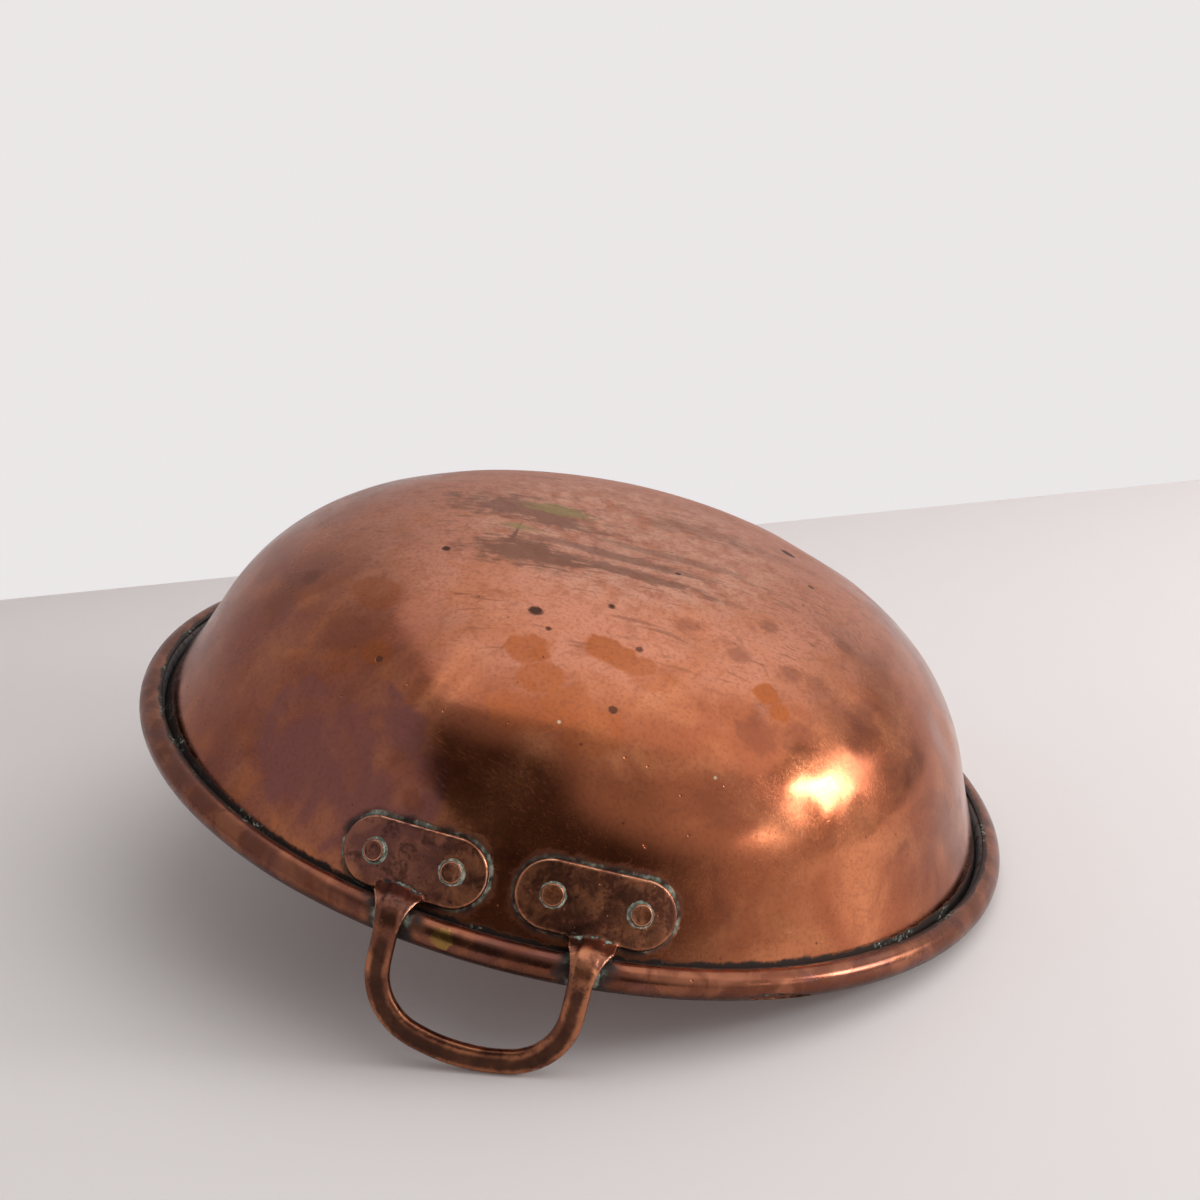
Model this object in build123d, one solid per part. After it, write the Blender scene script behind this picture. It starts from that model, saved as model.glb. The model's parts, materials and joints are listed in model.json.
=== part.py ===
from build123d import *
from typing import NamedTuple
import math
import os

# An old copper jam pan, upside down as it is set aside after use.
# The bowl is one raised copper sheet whose edge is rolled outwards round an iron wire. Two loop
# handles, each forged in one piece with two lugs, are held to the wall by two rivets a lug.
# The pan is drawn upright on its own axis first: the rim wire lies in the plane z = 0, the
# base is up, and the handles are at -X (near) and +X (far). It is then tipped about X until
# both loops and one side of the rim stand on the ground, with the origin on the ground below
# the middle of the rim. Lengths are in millimetres and angles in degrees.

# Rim: the centre circle of the wire, the sheet of the bowl and the roll of its edge
RIM_RADIUS = 190.0
SHEET = 1.8
WIRE_RADIUS = 4.5
WIRE_GAP = 0.05
ROLL_END = 118.0

# Wall and base: a conical wall, a shoulder, a crown and the flat that the pan stands on.
# A lean is measured from the pan's axis.
WALL_LEAN = 22.0
WALL_HEIGHT = 40.0
SHOULDER_RADIUS = 92.0
SHOULDER_LEAN = 62.5
CROWN_RADIUS = 190.0

# Place worn through the roll, where the wire shows: round the rim from +X, and round the wire
WORN_AROUND = -144.5
WORN_TURN = -35.0
WORN_LENGTH = 30.0
WORN_WIDTH = 6.0

# Lugs: pill-shaped plates bent to the wall
LUG_HEIGHT = 28.5
LUG_THICKNESS = 3.4
LUG_EDGE = 1.2
LUG_SEAT_GAP = 0.05

# The two lugs of a handle, set by eye: distance from the middle, height of the middle on the
# wall, droop of the outer end, length, and spacing of the two rivets
HIGH_LUG_ACROSS = 35.8
HIGH_LUG_RISE = 22.0
HIGH_LUG_DROOP = 3.2
HIGH_LUG_LENGTH = 64.5
HIGH_RIVET_SPACING = 34.4
LOW_LUG_ACROSS = 36.2
LOW_LUG_RISE = 19.6
LOW_LUG_DROOP = 5.0
LOW_LUG_LENGTH = 61.0
LOW_RIVET_SPACING = 32.0

# Handle bar: a flat bar with round corners, and the D-shaped loop that it makes
BAR_WIDTH = 10.0
BAR_THICKNESS = 5.5
BAR_CORNER = 2.1
LEG_SPACING = 77.2
LOOP_LEAN = 7.3
LOOP_REACH = 40.8
LOOP_CORNER = 26.0
LOOP_BOTTOM = 71.0
BEAD_GAP = 0.2
ROOT_FLARE = 4.6
ROOT_LENGTH = 17.0
ROOT_DEPTH = 6.0

# Rivets: two a lug, with a short flat head outside and a low one inside
RIVET_RADIUS = 3.2
RIVET_GAP = 0.05
HEAD_RADIUS = 4.8
HEAD_HEIGHT = 1.9
HEAD_EDGE = 0.7
INNER_HEAD_RADIUS = 5.6
INNER_HEAD_HEIGHT = 1.3
HEAD_SEAT = 0.02
INNER_HEAD_SEAT = 0.14

# Search for the tilt at rest, in degrees
TILT_LIMIT = 60.0
TILT_TOLERANCE = 1e-9

# Worked out from the sizes above
ROLL_INSIDE = WIRE_RADIUS + WIRE_GAP
BEAD_RADIUS = ROLL_INSIDE + SHEET
HALF_SPACING = LEG_SPACING / 2
HUG_RADIUS = BEAD_RADIUS + BEAD_GAP
HUG_MIDDLE = HUG_RADIUS + BAR_THICKNESS / 2
HUG_CENTRE = (
    math.sqrt((RIM_RADIUS + HUG_RADIUS) ** 2 - (HALF_SPACING - BAR_WIDTH / 2) ** 2) - HUG_RADIUS
)
LUG_TOOL_REACH = 4 * LUG_THICKNESS
WALL_TOOL_TOP = HIGH_LUG_RISE + LUG_HEIGHT


class Lug(NamedTuple):
    side: int
    across: float
    rise: float
    droop: float
    length: float
    rivet_spacing: float


LUGS = (
    Lug(-1, HIGH_LUG_ACROSS, HIGH_LUG_RISE, HIGH_LUG_DROOP, HIGH_LUG_LENGTH, HIGH_RIVET_SPACING),
    Lug(1, LOW_LUG_ACROSS, LOW_LUG_RISE, LOW_LUG_DROOP, LOW_LUG_LENGTH, LOW_RIVET_SPACING),
)


def sine(degrees):
    return math.sin(math.radians(degrees))


def cosine(degrees):
    return math.cos(math.radians(degrees))


# Points and arcs of the bowl's section, drawn in the plane y = 0

def section_point(centre, radius, turn):
    return Vector(centre.X + radius * cosine(turn), 0, centre.Z + radius * sine(turn))


def section_arc(centre, radius, start, end):
    return ThreePointArc(
        section_point(centre, radius, start),
        section_point(centre, radius, (start + end) / 2),
        section_point(centre, radius, end),
    )


def wall_radius(height, offset=0.0):
    # Radius of the wall's outer face at a height, or of a cone that lies offset outside it
    foot = section_point(Vector(RIM_RADIUS, 0, 0), ROLL_INSIDE, 180 + WALL_LEAN)
    lean = math.tan(math.radians(WALL_LEAN))
    return foot.X - (height - foot.Z) * lean + offset / cosine(WALL_LEAN)


def arc_centres():
    # Centres of the shoulder arc and of the crown arc
    wall_top = Vector(wall_radius(WALL_HEIGHT), 0, WALL_HEIGHT)
    shoulder = section_point(wall_top, -SHOULDER_RADIUS, WALL_LEAN)
    crown = section_point(shoulder, SHOULDER_RADIUS - CROWN_RADIUS, SHOULDER_LEAN)
    return shoulder, crown


def base_height():
    return arc_centres()[1].Z + CROWN_RADIUS


def bowl_face(roll_radius, depth):
    # Edges of one face of the sheet, from the end of the roll round to the pan's axis
    wire = Vector(RIM_RADIUS, 0, 0)
    shoulder, crown = arc_centres()
    roll = section_arc(wire, roll_radius, ROLL_END, WALL_LEAN - 180)
    round_shoulder = section_arc(shoulder, SHOULDER_RADIUS - depth, WALL_LEAN, SHOULDER_LEAN)
    round_crown = section_arc(crown, CROWN_RADIUS - depth, SHOULDER_LEAN, 90)
    wall = Line(roll @ 1, round_shoulder @ 0)
    flat = Line(round_crown @ 1, Vector(0, 0, base_height() - depth))
    return [roll, wall, round_shoulder, round_crown, flat]


def make_bowl(rivet_holes):
    outside = bowl_face(ROLL_INSIDE, 0)
    inside = bowl_face(BEAD_RADIUS, SHEET)
    cut_edge = Line(outside[0] @ 0, inside[0] @ 0)
    on_axis = Line(outside[-1] @ 1, inside[-1] @ 1)
    bowl = revolve(make_face(outside + [on_axis] + inside + [cut_edge]), Axis.Z)
    bowl -= worn_place()
    for hole in rivet_holes:
        bowl -= hole
    return bowl


def worn_place():
    outwards = Vector(cosine(WORN_AROUND), sine(WORN_AROUND), 0)
    along = Vector(-sine(WORN_AROUND), cosine(WORN_AROUND), 0)
    normal = outwards * cosine(WORN_TURN) + Vector(0, 0, sine(WORN_TURN))
    place = Plane(origin=outwards * RIM_RADIUS, x_dir=along, z_dir=normal)
    return extrude(place * SlotOverall(WORN_LENGTH, WORN_WIDTH), 2 * BEAD_RADIUS)


def make_wire():
    return Torus(RIM_RADIUS, WIRE_RADIUS)


# Lugs and rivets, on the far side of the pan

def wall_place(around, rise):
    # Plane on the wall's outer face at a direction and a height, facing out
    radius = wall_radius(rise)
    out = Vector(cosine(around), sine(around), 0)
    normal = out * cosine(WALL_LEAN) + Vector(0, 0, sine(WALL_LEAN))
    origin = out * radius + Vector(0, 0, rise)
    return Plane(origin=origin, x_dir=Vector(-sine(around), cosine(around), 0), z_dir=normal)


def lug_angle(lug):
    return lug.side * math.degrees(math.asin(lug.across / wall_radius(lug.rise)))


def rivet_places():
    # Planes of the four rivets of a handle, along both lugs from -Y to +Y
    places = []
    for lug in LUGS:
        along = lug.rivet_spacing / 2 * cosine(lug.droop)
        drop = lug.side * lug.rivet_spacing / 2 * sine(lug.droop) * cosine(WALL_LEAN)
        step = math.degrees(math.asin(along / wall_radius(lug.rise)))
        for end in (-1, 1):
            places.append(wall_place(lug_angle(lug) + end * step, lug.rise - end * drop))
    return places


def wall_cone(offset):
    # Solid cone whose side lies offset outside the wall, from the rim plane to above the lugs
    cone = Cone(wall_radius(0, offset), wall_radius(WALL_TOOL_TOP, offset), WALL_TOOL_TOP)
    return Pos(0, 0, WALL_TOOL_TOP / 2) * cone


def make_lug(lug):
    place = wall_place(lug_angle(lug), lug.rise)
    outline = Rot(0, 0, -lug.side * lug.droop) * SlotOverall(lug.length, LUG_HEIGHT)
    pill = extrude(place * outline, LUG_TOOL_REACH, both=True)
    plate = pill & wall_cone(LUG_SEAT_GAP + LUG_THICKNESS)
    outer_face = plate.faces().filter_by(GeomType.CONE)[0]
    return fillet(outer_face.edges(), LUG_EDGE)


def rivet_hole(place):
    reach = LUG_THICKNESS + SHEET + HEAD_HEIGHT
    hole = Cylinder(RIVET_RADIUS + RIVET_GAP, 2 * reach)
    return place.location * hole


def make_rivet(place):
    head_seat = LUG_SEAT_GAP + LUG_THICKNESS + HEAD_SEAT
    inner_seat = SHEET + INNER_HEAD_SEAT
    shank = Pos(0, 0, (head_seat - inner_seat) / 2) * Cylinder(RIVET_RADIUS, head_seat + inner_seat)
    head = Pos(0, 0, head_seat + HEAD_HEIGHT / 2) * Cylinder(HEAD_RADIUS, HEAD_HEIGHT)
    head = fillet(head.edges().sort_by(Axis.Z)[-1], HEAD_EDGE)
    inner = Pos(0, 0, -inner_seat - INNER_HEAD_HEIGHT / 2) * Cylinder(
        INNER_HEAD_RADIUS, INNER_HEAD_HEIGHT
    )
    inner = fillet(inner.edges().sort_by(Axis.Z)[0], HEAD_EDGE)
    return place.location * (shank + head + inner)


# Handle, on the far side of the pan

def loop_point(across, drop):
    # Point of the loop's plane: across from the middle, and down the plane from the rim plane
    start = HUG_CENTRE + HUG_MIDDLE / cosine(LOOP_LEAN)
    return Vector(start + drop * sine(LOOP_LEAN), across, -drop * cosine(LOOP_LEAN))


def loop_corner_drop():
    # Drop of the corner arcs' centres, which makes them run smoothly into the bottom arc
    rise = (LOOP_BOTTOM - LOOP_CORNER) ** 2 - (HALF_SPACING - LOOP_CORNER) ** 2
    return LOOP_REACH - LOOP_BOTTOM + math.sqrt(rise)


def bottom_half_angle():
    return math.degrees(math.asin((HALF_SPACING - LOOP_CORNER) / (LOOP_BOTTOM - LOOP_CORNER)))


def loop_arc(centre_across, centre_drop, radius, start, end):
    # Arc in the loop's plane; its angles are measured from straight down, towards +Y
    def at(angle):
        return loop_point(
            centre_across + radius * sine(angle), centre_drop + radius * cosine(angle)
        )

    return ThreePointArc(at(start), at((start + end) / 2), at(end))


def leg_top(side):
    # Edges from the lug over the rim: straight out above it, then round it and down
    across = side * HALF_SPACING
    root = Vector(wall_radius(HUG_MIDDLE) - 2 * ROOT_DEPTH, across, HUG_MIDDLE)
    above_rim = Vector(HUG_CENTRE, across, HUG_MIDDLE)

    def at(turn):
        return Vector(
            HUG_CENTRE + HUG_MIDDLE * cosine(turn), across, HUG_MIDDLE * sine(turn)
        )

    over_rim = ThreePointArc(above_rim, at((90 + LOOP_LEAN) / 2), at(LOOP_LEAN))
    straight = Line(over_rim @ 1, loop_point(across, loop_corner_drop()))
    return [Line(root, above_rim), over_rim, straight]


def bar_path():
    centre = HALF_SPACING - LOOP_CORNER
    drop = loop_corner_drop()
    half = bottom_half_angle()
    loop = [
        loop_arc(centre, drop, LOOP_CORNER, 90, half),
        loop_arc(0, LOOP_REACH - LOOP_BOTTOM, LOOP_BOTTOM, half, -half),
        loop_arc(-centre, drop, LOOP_CORNER, -half, -90),
    ]
    return Wire(leg_top(1) + loop + leg_top(-1))


def make_bar():
    path = bar_path()
    start = Plane(origin=leg_top(1)[0] @ 0, x_dir=Vector(0, 1, 0), z_dir=Vector(1, 0, 0))
    return sweep(start * RectangleRounded(BAR_WIDTH, BAR_THICKNESS, BAR_CORNER), path=path)


def root_flare(side):
    # Flare that widens the leg on both sides where it comes off its lug and over the rim
    across = side * HALF_SPACING
    over_rim = leg_top(side)[:2]
    start = Plane(origin=over_rim[0] @ 0, x_dir=Vector(0, 1, 0), z_dir=Vector(1, 0, 0))
    width = BAR_WIDTH + 2 * ROOT_FLARE
    thickness = BAR_THICKNESS - BAR_CORNER
    flare = sweep(start * Rectangle(width, thickness), path=Wire(over_rim))
    hollow_radius = (ROOT_LENGTH**2 + ROOT_FLARE**2) / (2 * ROOT_FLARE)
    face = wall_radius(HUG_MIDDLE, LUG_SEAT_GAP + LUG_THICKNESS)
    slant = ROOT_LENGTH * cosine(45)
    for outer in (-1, 1):
        edge = across + outer * (BAR_WIDTH / 2 + hollow_radius)
        turn = Pos(face + slant, edge, HUG_MIDDLE - slant) * Rot(0, 45, 0)
        flare -= turn * Cylinder(hollow_radius, 4 * ROOT_LENGTH)
    return flare - Torus(RIM_RADIUS, HUG_RADIUS)


def make_handle(rivet_holes):
    handle = make_bar()
    for lug in LUGS:
        handle += make_lug(lug)
        handle += root_flare(lug.side)
    handle -= wall_cone(LUG_SEAT_GAP)
    for hole in rivet_holes:
        handle -= hole
    return handle


# Resting place on the ground

def rim_depth(tilt):
    # How far below the middle of the rim the low side of the rim reaches
    return RIM_RADIUS * sine(tilt) + BEAD_RADIUS


def loop_depth(tilt):
    # How far below the middle of the rim both loops reach
    down = cosine(LOOP_LEAN) * cosine(tilt)
    in_plane = math.hypot(sine(tilt), down)
    off_plane = sine(LOOP_LEAN) * cosine(tilt)
    if math.degrees(math.atan2(sine(tilt), down)) < bottom_half_angle():
        middle = (LOOP_REACH - LOOP_BOTTOM) * down + LOOP_BOTTOM * in_plane
    else:
        centre = (HALF_SPACING - LOOP_CORNER) * sine(tilt) + loop_corner_drop() * down
        middle = centre + LOOP_CORNER * in_plane
    bar = (BAR_WIDTH / 2 - BAR_CORNER) * in_plane + (BAR_THICKNESS / 2 - BAR_CORNER) * off_plane
    return middle + bar + BAR_CORNER


def rest_tilt():
    low = 0.0
    high = TILT_LIMIT
    while high - low > TILT_TOLERANCE:
        middle = (low + high) / 2
        if loop_depth(middle) > rim_depth(middle):
            low = middle
        else:
            high = middle
    return (low + high) / 2


def rest_place():
    tilt = rest_tilt()
    return Pos(0, 0, rim_depth(tilt)) * Rot(tilt, 0, 0)


def make_parts():
    places = rivet_places()
    far_holes = [rivet_hole(place) for place in places]
    near_holes = [mirror(hole, about=Plane.YZ) for hole in far_holes]
    far_handle = make_handle(far_holes)
    parts = {
        "bowl": make_bowl(far_holes + near_holes),
        "rim_wire": make_wire(),
        "handle_far": far_handle,
        "handle_near": mirror(far_handle, about=Plane.YZ),
    }
    for number, place in enumerate(places, start=1):
        rivet = make_rivet(place)
        parts[f"rivet_far_{number}"] = rivet
        parts[f"rivet_near_{number}"] = mirror(rivet, about=Plane.YZ)
    return parts


def main():
    os.makedirs("parts", exist_ok=True)
    place = rest_place()
    for name, shape in make_parts().items():
        export_step(place * shape, f"parts/{name}.step")
    print(f"tilt {rest_tilt():.3f} degrees, base {base_height():.2f} mm above the rim plane")
    print(f"rim plane {rim_depth(rest_tilt()):.3f} mm above the ground at its middle")


main()
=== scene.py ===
"""Looks of an old copper jam pan that lies upside down on its two loops and its rim."""

from __future__ import annotations

import json
import logging
import math
from dataclasses import dataclass
from enum import Enum
from typing import Callable, Sequence

import bpy
import numpy as np
from mathutils import Matrix, Vector, noise

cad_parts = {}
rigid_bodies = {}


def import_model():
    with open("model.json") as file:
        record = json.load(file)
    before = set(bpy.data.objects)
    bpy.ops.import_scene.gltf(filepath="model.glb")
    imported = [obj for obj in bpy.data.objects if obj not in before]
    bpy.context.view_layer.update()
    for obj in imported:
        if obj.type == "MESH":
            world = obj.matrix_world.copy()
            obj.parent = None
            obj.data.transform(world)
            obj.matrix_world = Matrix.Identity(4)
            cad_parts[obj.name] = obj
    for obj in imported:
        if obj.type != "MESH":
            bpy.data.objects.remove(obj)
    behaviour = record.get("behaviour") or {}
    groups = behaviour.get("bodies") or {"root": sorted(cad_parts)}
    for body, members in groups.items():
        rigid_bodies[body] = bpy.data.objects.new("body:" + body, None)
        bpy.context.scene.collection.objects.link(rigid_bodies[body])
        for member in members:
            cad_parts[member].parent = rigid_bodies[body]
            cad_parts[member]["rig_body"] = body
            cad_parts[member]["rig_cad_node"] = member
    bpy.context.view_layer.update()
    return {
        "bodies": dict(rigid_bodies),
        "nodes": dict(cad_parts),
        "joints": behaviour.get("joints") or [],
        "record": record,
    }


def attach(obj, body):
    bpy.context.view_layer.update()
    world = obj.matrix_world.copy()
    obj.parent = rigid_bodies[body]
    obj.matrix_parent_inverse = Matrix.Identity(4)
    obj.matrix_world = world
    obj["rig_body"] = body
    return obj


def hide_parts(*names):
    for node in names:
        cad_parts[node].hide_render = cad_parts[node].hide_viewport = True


LOG = logging.getLogger("jam_pan")
MM = 0.001
BODY = "root"
RIVETS_A_HANDLE = 4
LEG_MIDDLE = 38.6
LEG_HALF_WIDTH = 5.0
BASE_LEVEL = 108.0
SMEAR_DEPTH = 14.0
Colour = tuple[float, float, float]
Socket = bpy.types.NodeSocket
Profile = Sequence[tuple[float, float]]


class Side(Enum):
    """The two handles, each with its direction along X."""

    NEAR = -1
    FAR = 1


class Part(Enum):
    """Faces of the copper sheet that are finished apart."""

    INSIDE = "inside"
    BEAD = "bead"
    GROOVE = "groove"


class Wear(Enum):
    """What a handle's or a rivet's surface carries, from 0 to 1; the strip by the bowl's wall also
    carries painted shade.
    """

    EDGE = "edge_wear"
    HOLLOW = "hollow"
    # Strip of a lug by the bowl's wall: painted shade of the gap there, and crust
    NEAR_WALL = "near_wall"
    RIVET_RING = "rivet_ring"
    BAR_MIDDLE = "bar_middle"


def smooth_step(value: np.ndarray, low: float, high: float) -> np.ndarray:
    """Give 0 at low, 1 at high and a smooth rise between, also where low is above high.

    Args:
        value: numbers to map.
        low: where the result is 0.
        high: where the result is 1.

    Returns:
        The mapped numbers.
    """
    t = np.clip((value - low) / (high - low), 0.0, 1.0)
    return t * t * (3.0 - 2.0 * t)


@dataclass(frozen=True)
class Lug:
    """One lug of a handle; sizes in millimetres and degrees."""

    side: int
    across: float
    rise: float
    droop: float
    length: float
    rivet_spacing: float


@dataclass(frozen=True)
class PanShape:
    """Sizes of the pan in millimetres and degrees, on its own upright axis.

    The rim's wire lies in the plane z = 0 and the base is up, as in the solids.
    """

    rim_radius: float = 190.0
    sheet: float = 1.8
    wire_radius: float = 4.5
    wire_gap: float = 0.05
    roll_end: float = 118.0
    wall_lean: float = 22.0
    wall_height: float = 40.0
    shoulder_radius: float = 92.0
    shoulder_lean: float = 62.5
    crown_radius: float = 190.0
    worn_around: float = -144.5
    worn_turn: float = -35.0
    worn_length: float = 30.0
    worn_width: float = 6.0
    lug_height: float = 28.5
    lug_thickness: float = 3.4
    lug_gap: float = 0.05
    lugs: tuple[Lug, Lug] = (
        Lug(-1, 35.8, 22.0, 3.2, 64.5, 34.4),
        Lug(1, 36.2, 19.6, 5.0, 61.0, 32.0),
    )
    loop_lean: float = 7.3
    loop_reach: float = 40.8
    loop_corner: float = 26.0
    loop_bottom: float = 71.0

    @property
    def roll_inside(self) -> float:
        """Radius of the roll's inner face, round the wire."""
        return self.wire_radius + self.wire_gap

    @property
    def bead_radius(self) -> float:
        """Outer radius of the rolled rim."""
        return self.roll_inside + self.sheet

    def wall_radius(self, height: float, offset: float = 0.0) -> float:
        """Give the radius of the wall's outer face, or of a cone offset outside it.

        Args:
            height: height above the rim plane.
            offset: distance outside the wall, square to it.

        Returns:
            The radius at that height.
        """
        lean = math.radians(self.wall_lean)
        foot_r = self.rim_radius - self.roll_inside * math.cos(lean)
        foot_z = -self.roll_inside * math.sin(lean)
        return foot_r - (height - foot_z) * math.tan(lean) + offset / math.cos(lean)

    def arc_centres(self) -> tuple[tuple[float, float], tuple[float, float]]:
        """Give the centres, as radius and height, of the shoulder arc and the crown arc."""
        lean = math.radians(self.wall_lean)
        turn = math.radians(self.shoulder_lean)
        shoulder_r = self.wall_radius(self.wall_height) - self.shoulder_radius * math.cos(lean)
        shoulder_z = self.wall_height - self.shoulder_radius * math.sin(lean)
        inward = self.shoulder_radius - self.crown_radius
        crown_r = shoulder_r + inward * math.cos(turn)
        crown_z = shoulder_z + inward * math.sin(turn)
        return (shoulder_r, shoulder_z), (crown_r, crown_z)

    def base_height(self) -> float:
        """Height of the flat base above the rim plane."""
        return self.arc_centres()[1][1] + self.crown_radius

    def wall_place(self, around: float, rise: float) -> Matrix:
        """Give a place on the wall's outer face, with its Z facing out.

        Args:
            around: direction from the pan's axis, in degrees from +X.
            rise: height above the rim plane.

        Returns:
            A matrix in the pan's own frame, in millimetres.
        """
        turn = math.radians(around)
        lean = math.radians(self.wall_lean)
        out = Vector((math.cos(turn), math.sin(turn), 0.0))
        along = Vector((-math.sin(turn), math.cos(turn), 0.0))
        normal = out * math.cos(lean) + Vector((0.0, 0.0, math.sin(lean)))
        origin = out * self.wall_radius(rise) + Vector((0.0, 0.0, rise))
        axes = Matrix((along, normal.cross(along), normal)).transposed()
        return Matrix.Translation(origin) @ axes.to_4x4()

    def rivet_places(self, side: Side) -> list[Matrix]:
        """Places of the four rivets of one handle, from -Y to +Y.

        Args:
            side: which handle.

        Returns:
            A matrix for each rivet, in the pan's own frame.
        """
        places = []
        for lug in self.lugs:
            radius = self.wall_radius(lug.rise)
            middle = lug.side * math.degrees(math.asin(lug.across / radius))
            half = lug.rivet_spacing / 2
            droop = math.radians(lug.droop)
            drop = lug.side * half * math.sin(droop) * math.cos(math.radians(self.wall_lean))
            step = math.degrees(math.asin(half * math.cos(droop) / radius))
            for end in (-1, 1):
                angle = middle + end * step
                around = angle if side is Side.FAR else 180.0 - angle
                places.append(self.wall_place(around, lug.rise - end * drop))
        return places


@dataclass(frozen=True)
class PanPlace:
    """How the pan lies in the frame: its tilt about X and the height of its rim plane."""

    tilt: float
    rim_height: float

    @classmethod
    def from_record(cls, record: dict) -> PanPlace:
        """Read the tilt and the height from the mount on the pan's base.

        Args:
            record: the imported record.

        Returns:
            The pan's place, in radians and metres.
        """
        mount = next(m for m in record["mounts"] if m["name"] == "base_flat")
        _, axis_y, axis_z = mount["axis"]
        tilt = math.atan2(-axis_y, axis_z)
        height = -mount["pos_m"][1] / math.sin(tilt)
        return cls(tilt, mount["pos_m"][2] - height * math.cos(tilt))

    def matrix(self) -> Matrix:
        """Matrix from the pan's own frame in millimetres to the frame in metres."""
        lift = Matrix.Translation((0.0, 0.0, self.rim_height))
        return lift @ Matrix.Rotation(self.tilt, 4, "X") @ Matrix.Scale(MM, 4)


# Mesh tools

def deselect_all() -> None:
    """Leave edit mode and select nothing."""
    if bpy.context.object and bpy.context.object.mode != "OBJECT":
        bpy.ops.object.mode_set(mode="OBJECT")
    bpy.ops.object.select_all(action="DESELECT")


def take_up(piece: bpy.types.Object) -> None:
    """Make one object the only selected one, and the active one."""
    deselect_all()
    piece.select_set(True)
    bpy.context.view_layer.objects.active = piece


def apply_modifiers(piece: bpy.types.Object) -> None:
    """Apply all modifiers of a piece, in their order."""
    take_up(piece)
    for name in [modifier.name for modifier in piece.modifiers]:
        bpy.ops.object.modifier_apply(modifier=name)


def vertex_array(piece: bpy.types.Object, field: str = "co") -> np.ndarray:
    """Read a vector of every vertex of a piece, its place or its normal, as an array."""
    values = np.zeros(len(piece.data.vertices) * 3, np.float32)
    piece.data.vertices.foreach_get(field, values)
    return values.reshape(-1, 3).astype(float)


def set_vertices(piece: bpy.types.Object, places: np.ndarray) -> None:
    """Write the places of all vertices of a piece."""
    piece.data.vertices.foreach_set("co", places.astype(np.float32).ravel())
    piece.data.update()


def store(piece: bpy.types.Object, name: str, values: np.ndarray) -> None:
    """Store one number a vertex under a name, for the piece's material to read."""
    layer = piece.data.attributes.new(name, "FLOAT", "POINT")
    layer.data.foreach_set("value", np.clip(values, 0.0, 1.0).astype(np.float32))


def field_at(places: np.ndarray, size: float, seed: float) -> np.ndarray:
    """Smooth noise from -1 to 1 at each place.

    Args:
        places: points in millimetres.
        size: width of one lump of the noise, in millimetres.
        seed: shift that picks another pattern.

    Returns:
        One number a point.
    """
    shift = Vector((seed, seed * 1.7, seed * 2.3))
    return np.array([noise.noise(Vector(p) / size + shift) for p in places])


def spin_profile(name: str, profile: Profile, steps: int) -> bpy.types.Object:
    """Draw a profile point by point in the plane y = 0 and spin it round the Z axis.

    Args:
        name: the new object's name.
        profile: radius and height of each point.
        steps: how many steps make the full turn.

    Returns:
        The spun piece, closed and facing out.
    """
    deselect_all()
    first_r, first_z = profile[0]
    bpy.ops.mesh.primitive_plane_add(size=1.0, location=(0.0, 0.0, 0.0))
    piece = bpy.context.object
    piece.name = name
    bpy.ops.object.mode_set(mode="EDIT")
    bpy.ops.mesh.merge(type="CENTER")
    bpy.ops.transform.translate(value=(first_r, 0.0, first_z))
    for (last_r, last_z), (r, z) in zip(profile, profile[1:]):
        move = {"value": (r - last_r, 0.0, z - last_z)}
        bpy.ops.mesh.extrude_region_move(TRANSFORM_OT_translate=move)
    bpy.ops.mesh.select_all(action="SELECT")
    bpy.ops.mesh.spin(
        steps=steps, angle=2 * math.pi, center=(0.0, 0.0, 0.0), axis=(0.0, 0.0, 1.0)
    )
    bpy.ops.mesh.select_all(action="SELECT")
    bpy.ops.mesh.remove_doubles(threshold=0.001)
    bpy.ops.mesh.normals_make_consistent(inside=False)
    bpy.ops.object.mode_set(mode="OBJECT")
    bpy.ops.object.shade_smooth()
    return piece


def arc_points(
    centre: tuple[float, float], radius: float, start: float, end: float, count: int
) -> list[tuple[float, float]]:
    """Points along an arc of a section.

    Args:
        centre: radius and height of the arc's centre.
        radius: the arc's radius.
        start: first angle in degrees, from straight out.
        end: last angle in degrees.
        count: how many points, both ends included.

    Returns:
        Radius and height of each point.
    """
    turns = [math.radians(start + (end - start) * i / (count - 1)) for i in range(count)]
    return [(centre[0] + radius * math.cos(t), centre[1] + radius * math.sin(t)) for t in turns]


def line_points(
    start: tuple[float, float], end: tuple[float, float], count: int
) -> list[tuple[float, float]]:
    """Points between two points of a section, with neither end."""
    shares = [i / (count + 1) for i in range(1, count + 1)]
    return [
        (start[0] + (end[0] - start[0]) * s, start[1] + (end[1] - start[1]) * s) for s in shares
    ]


# Shader tools

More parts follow.
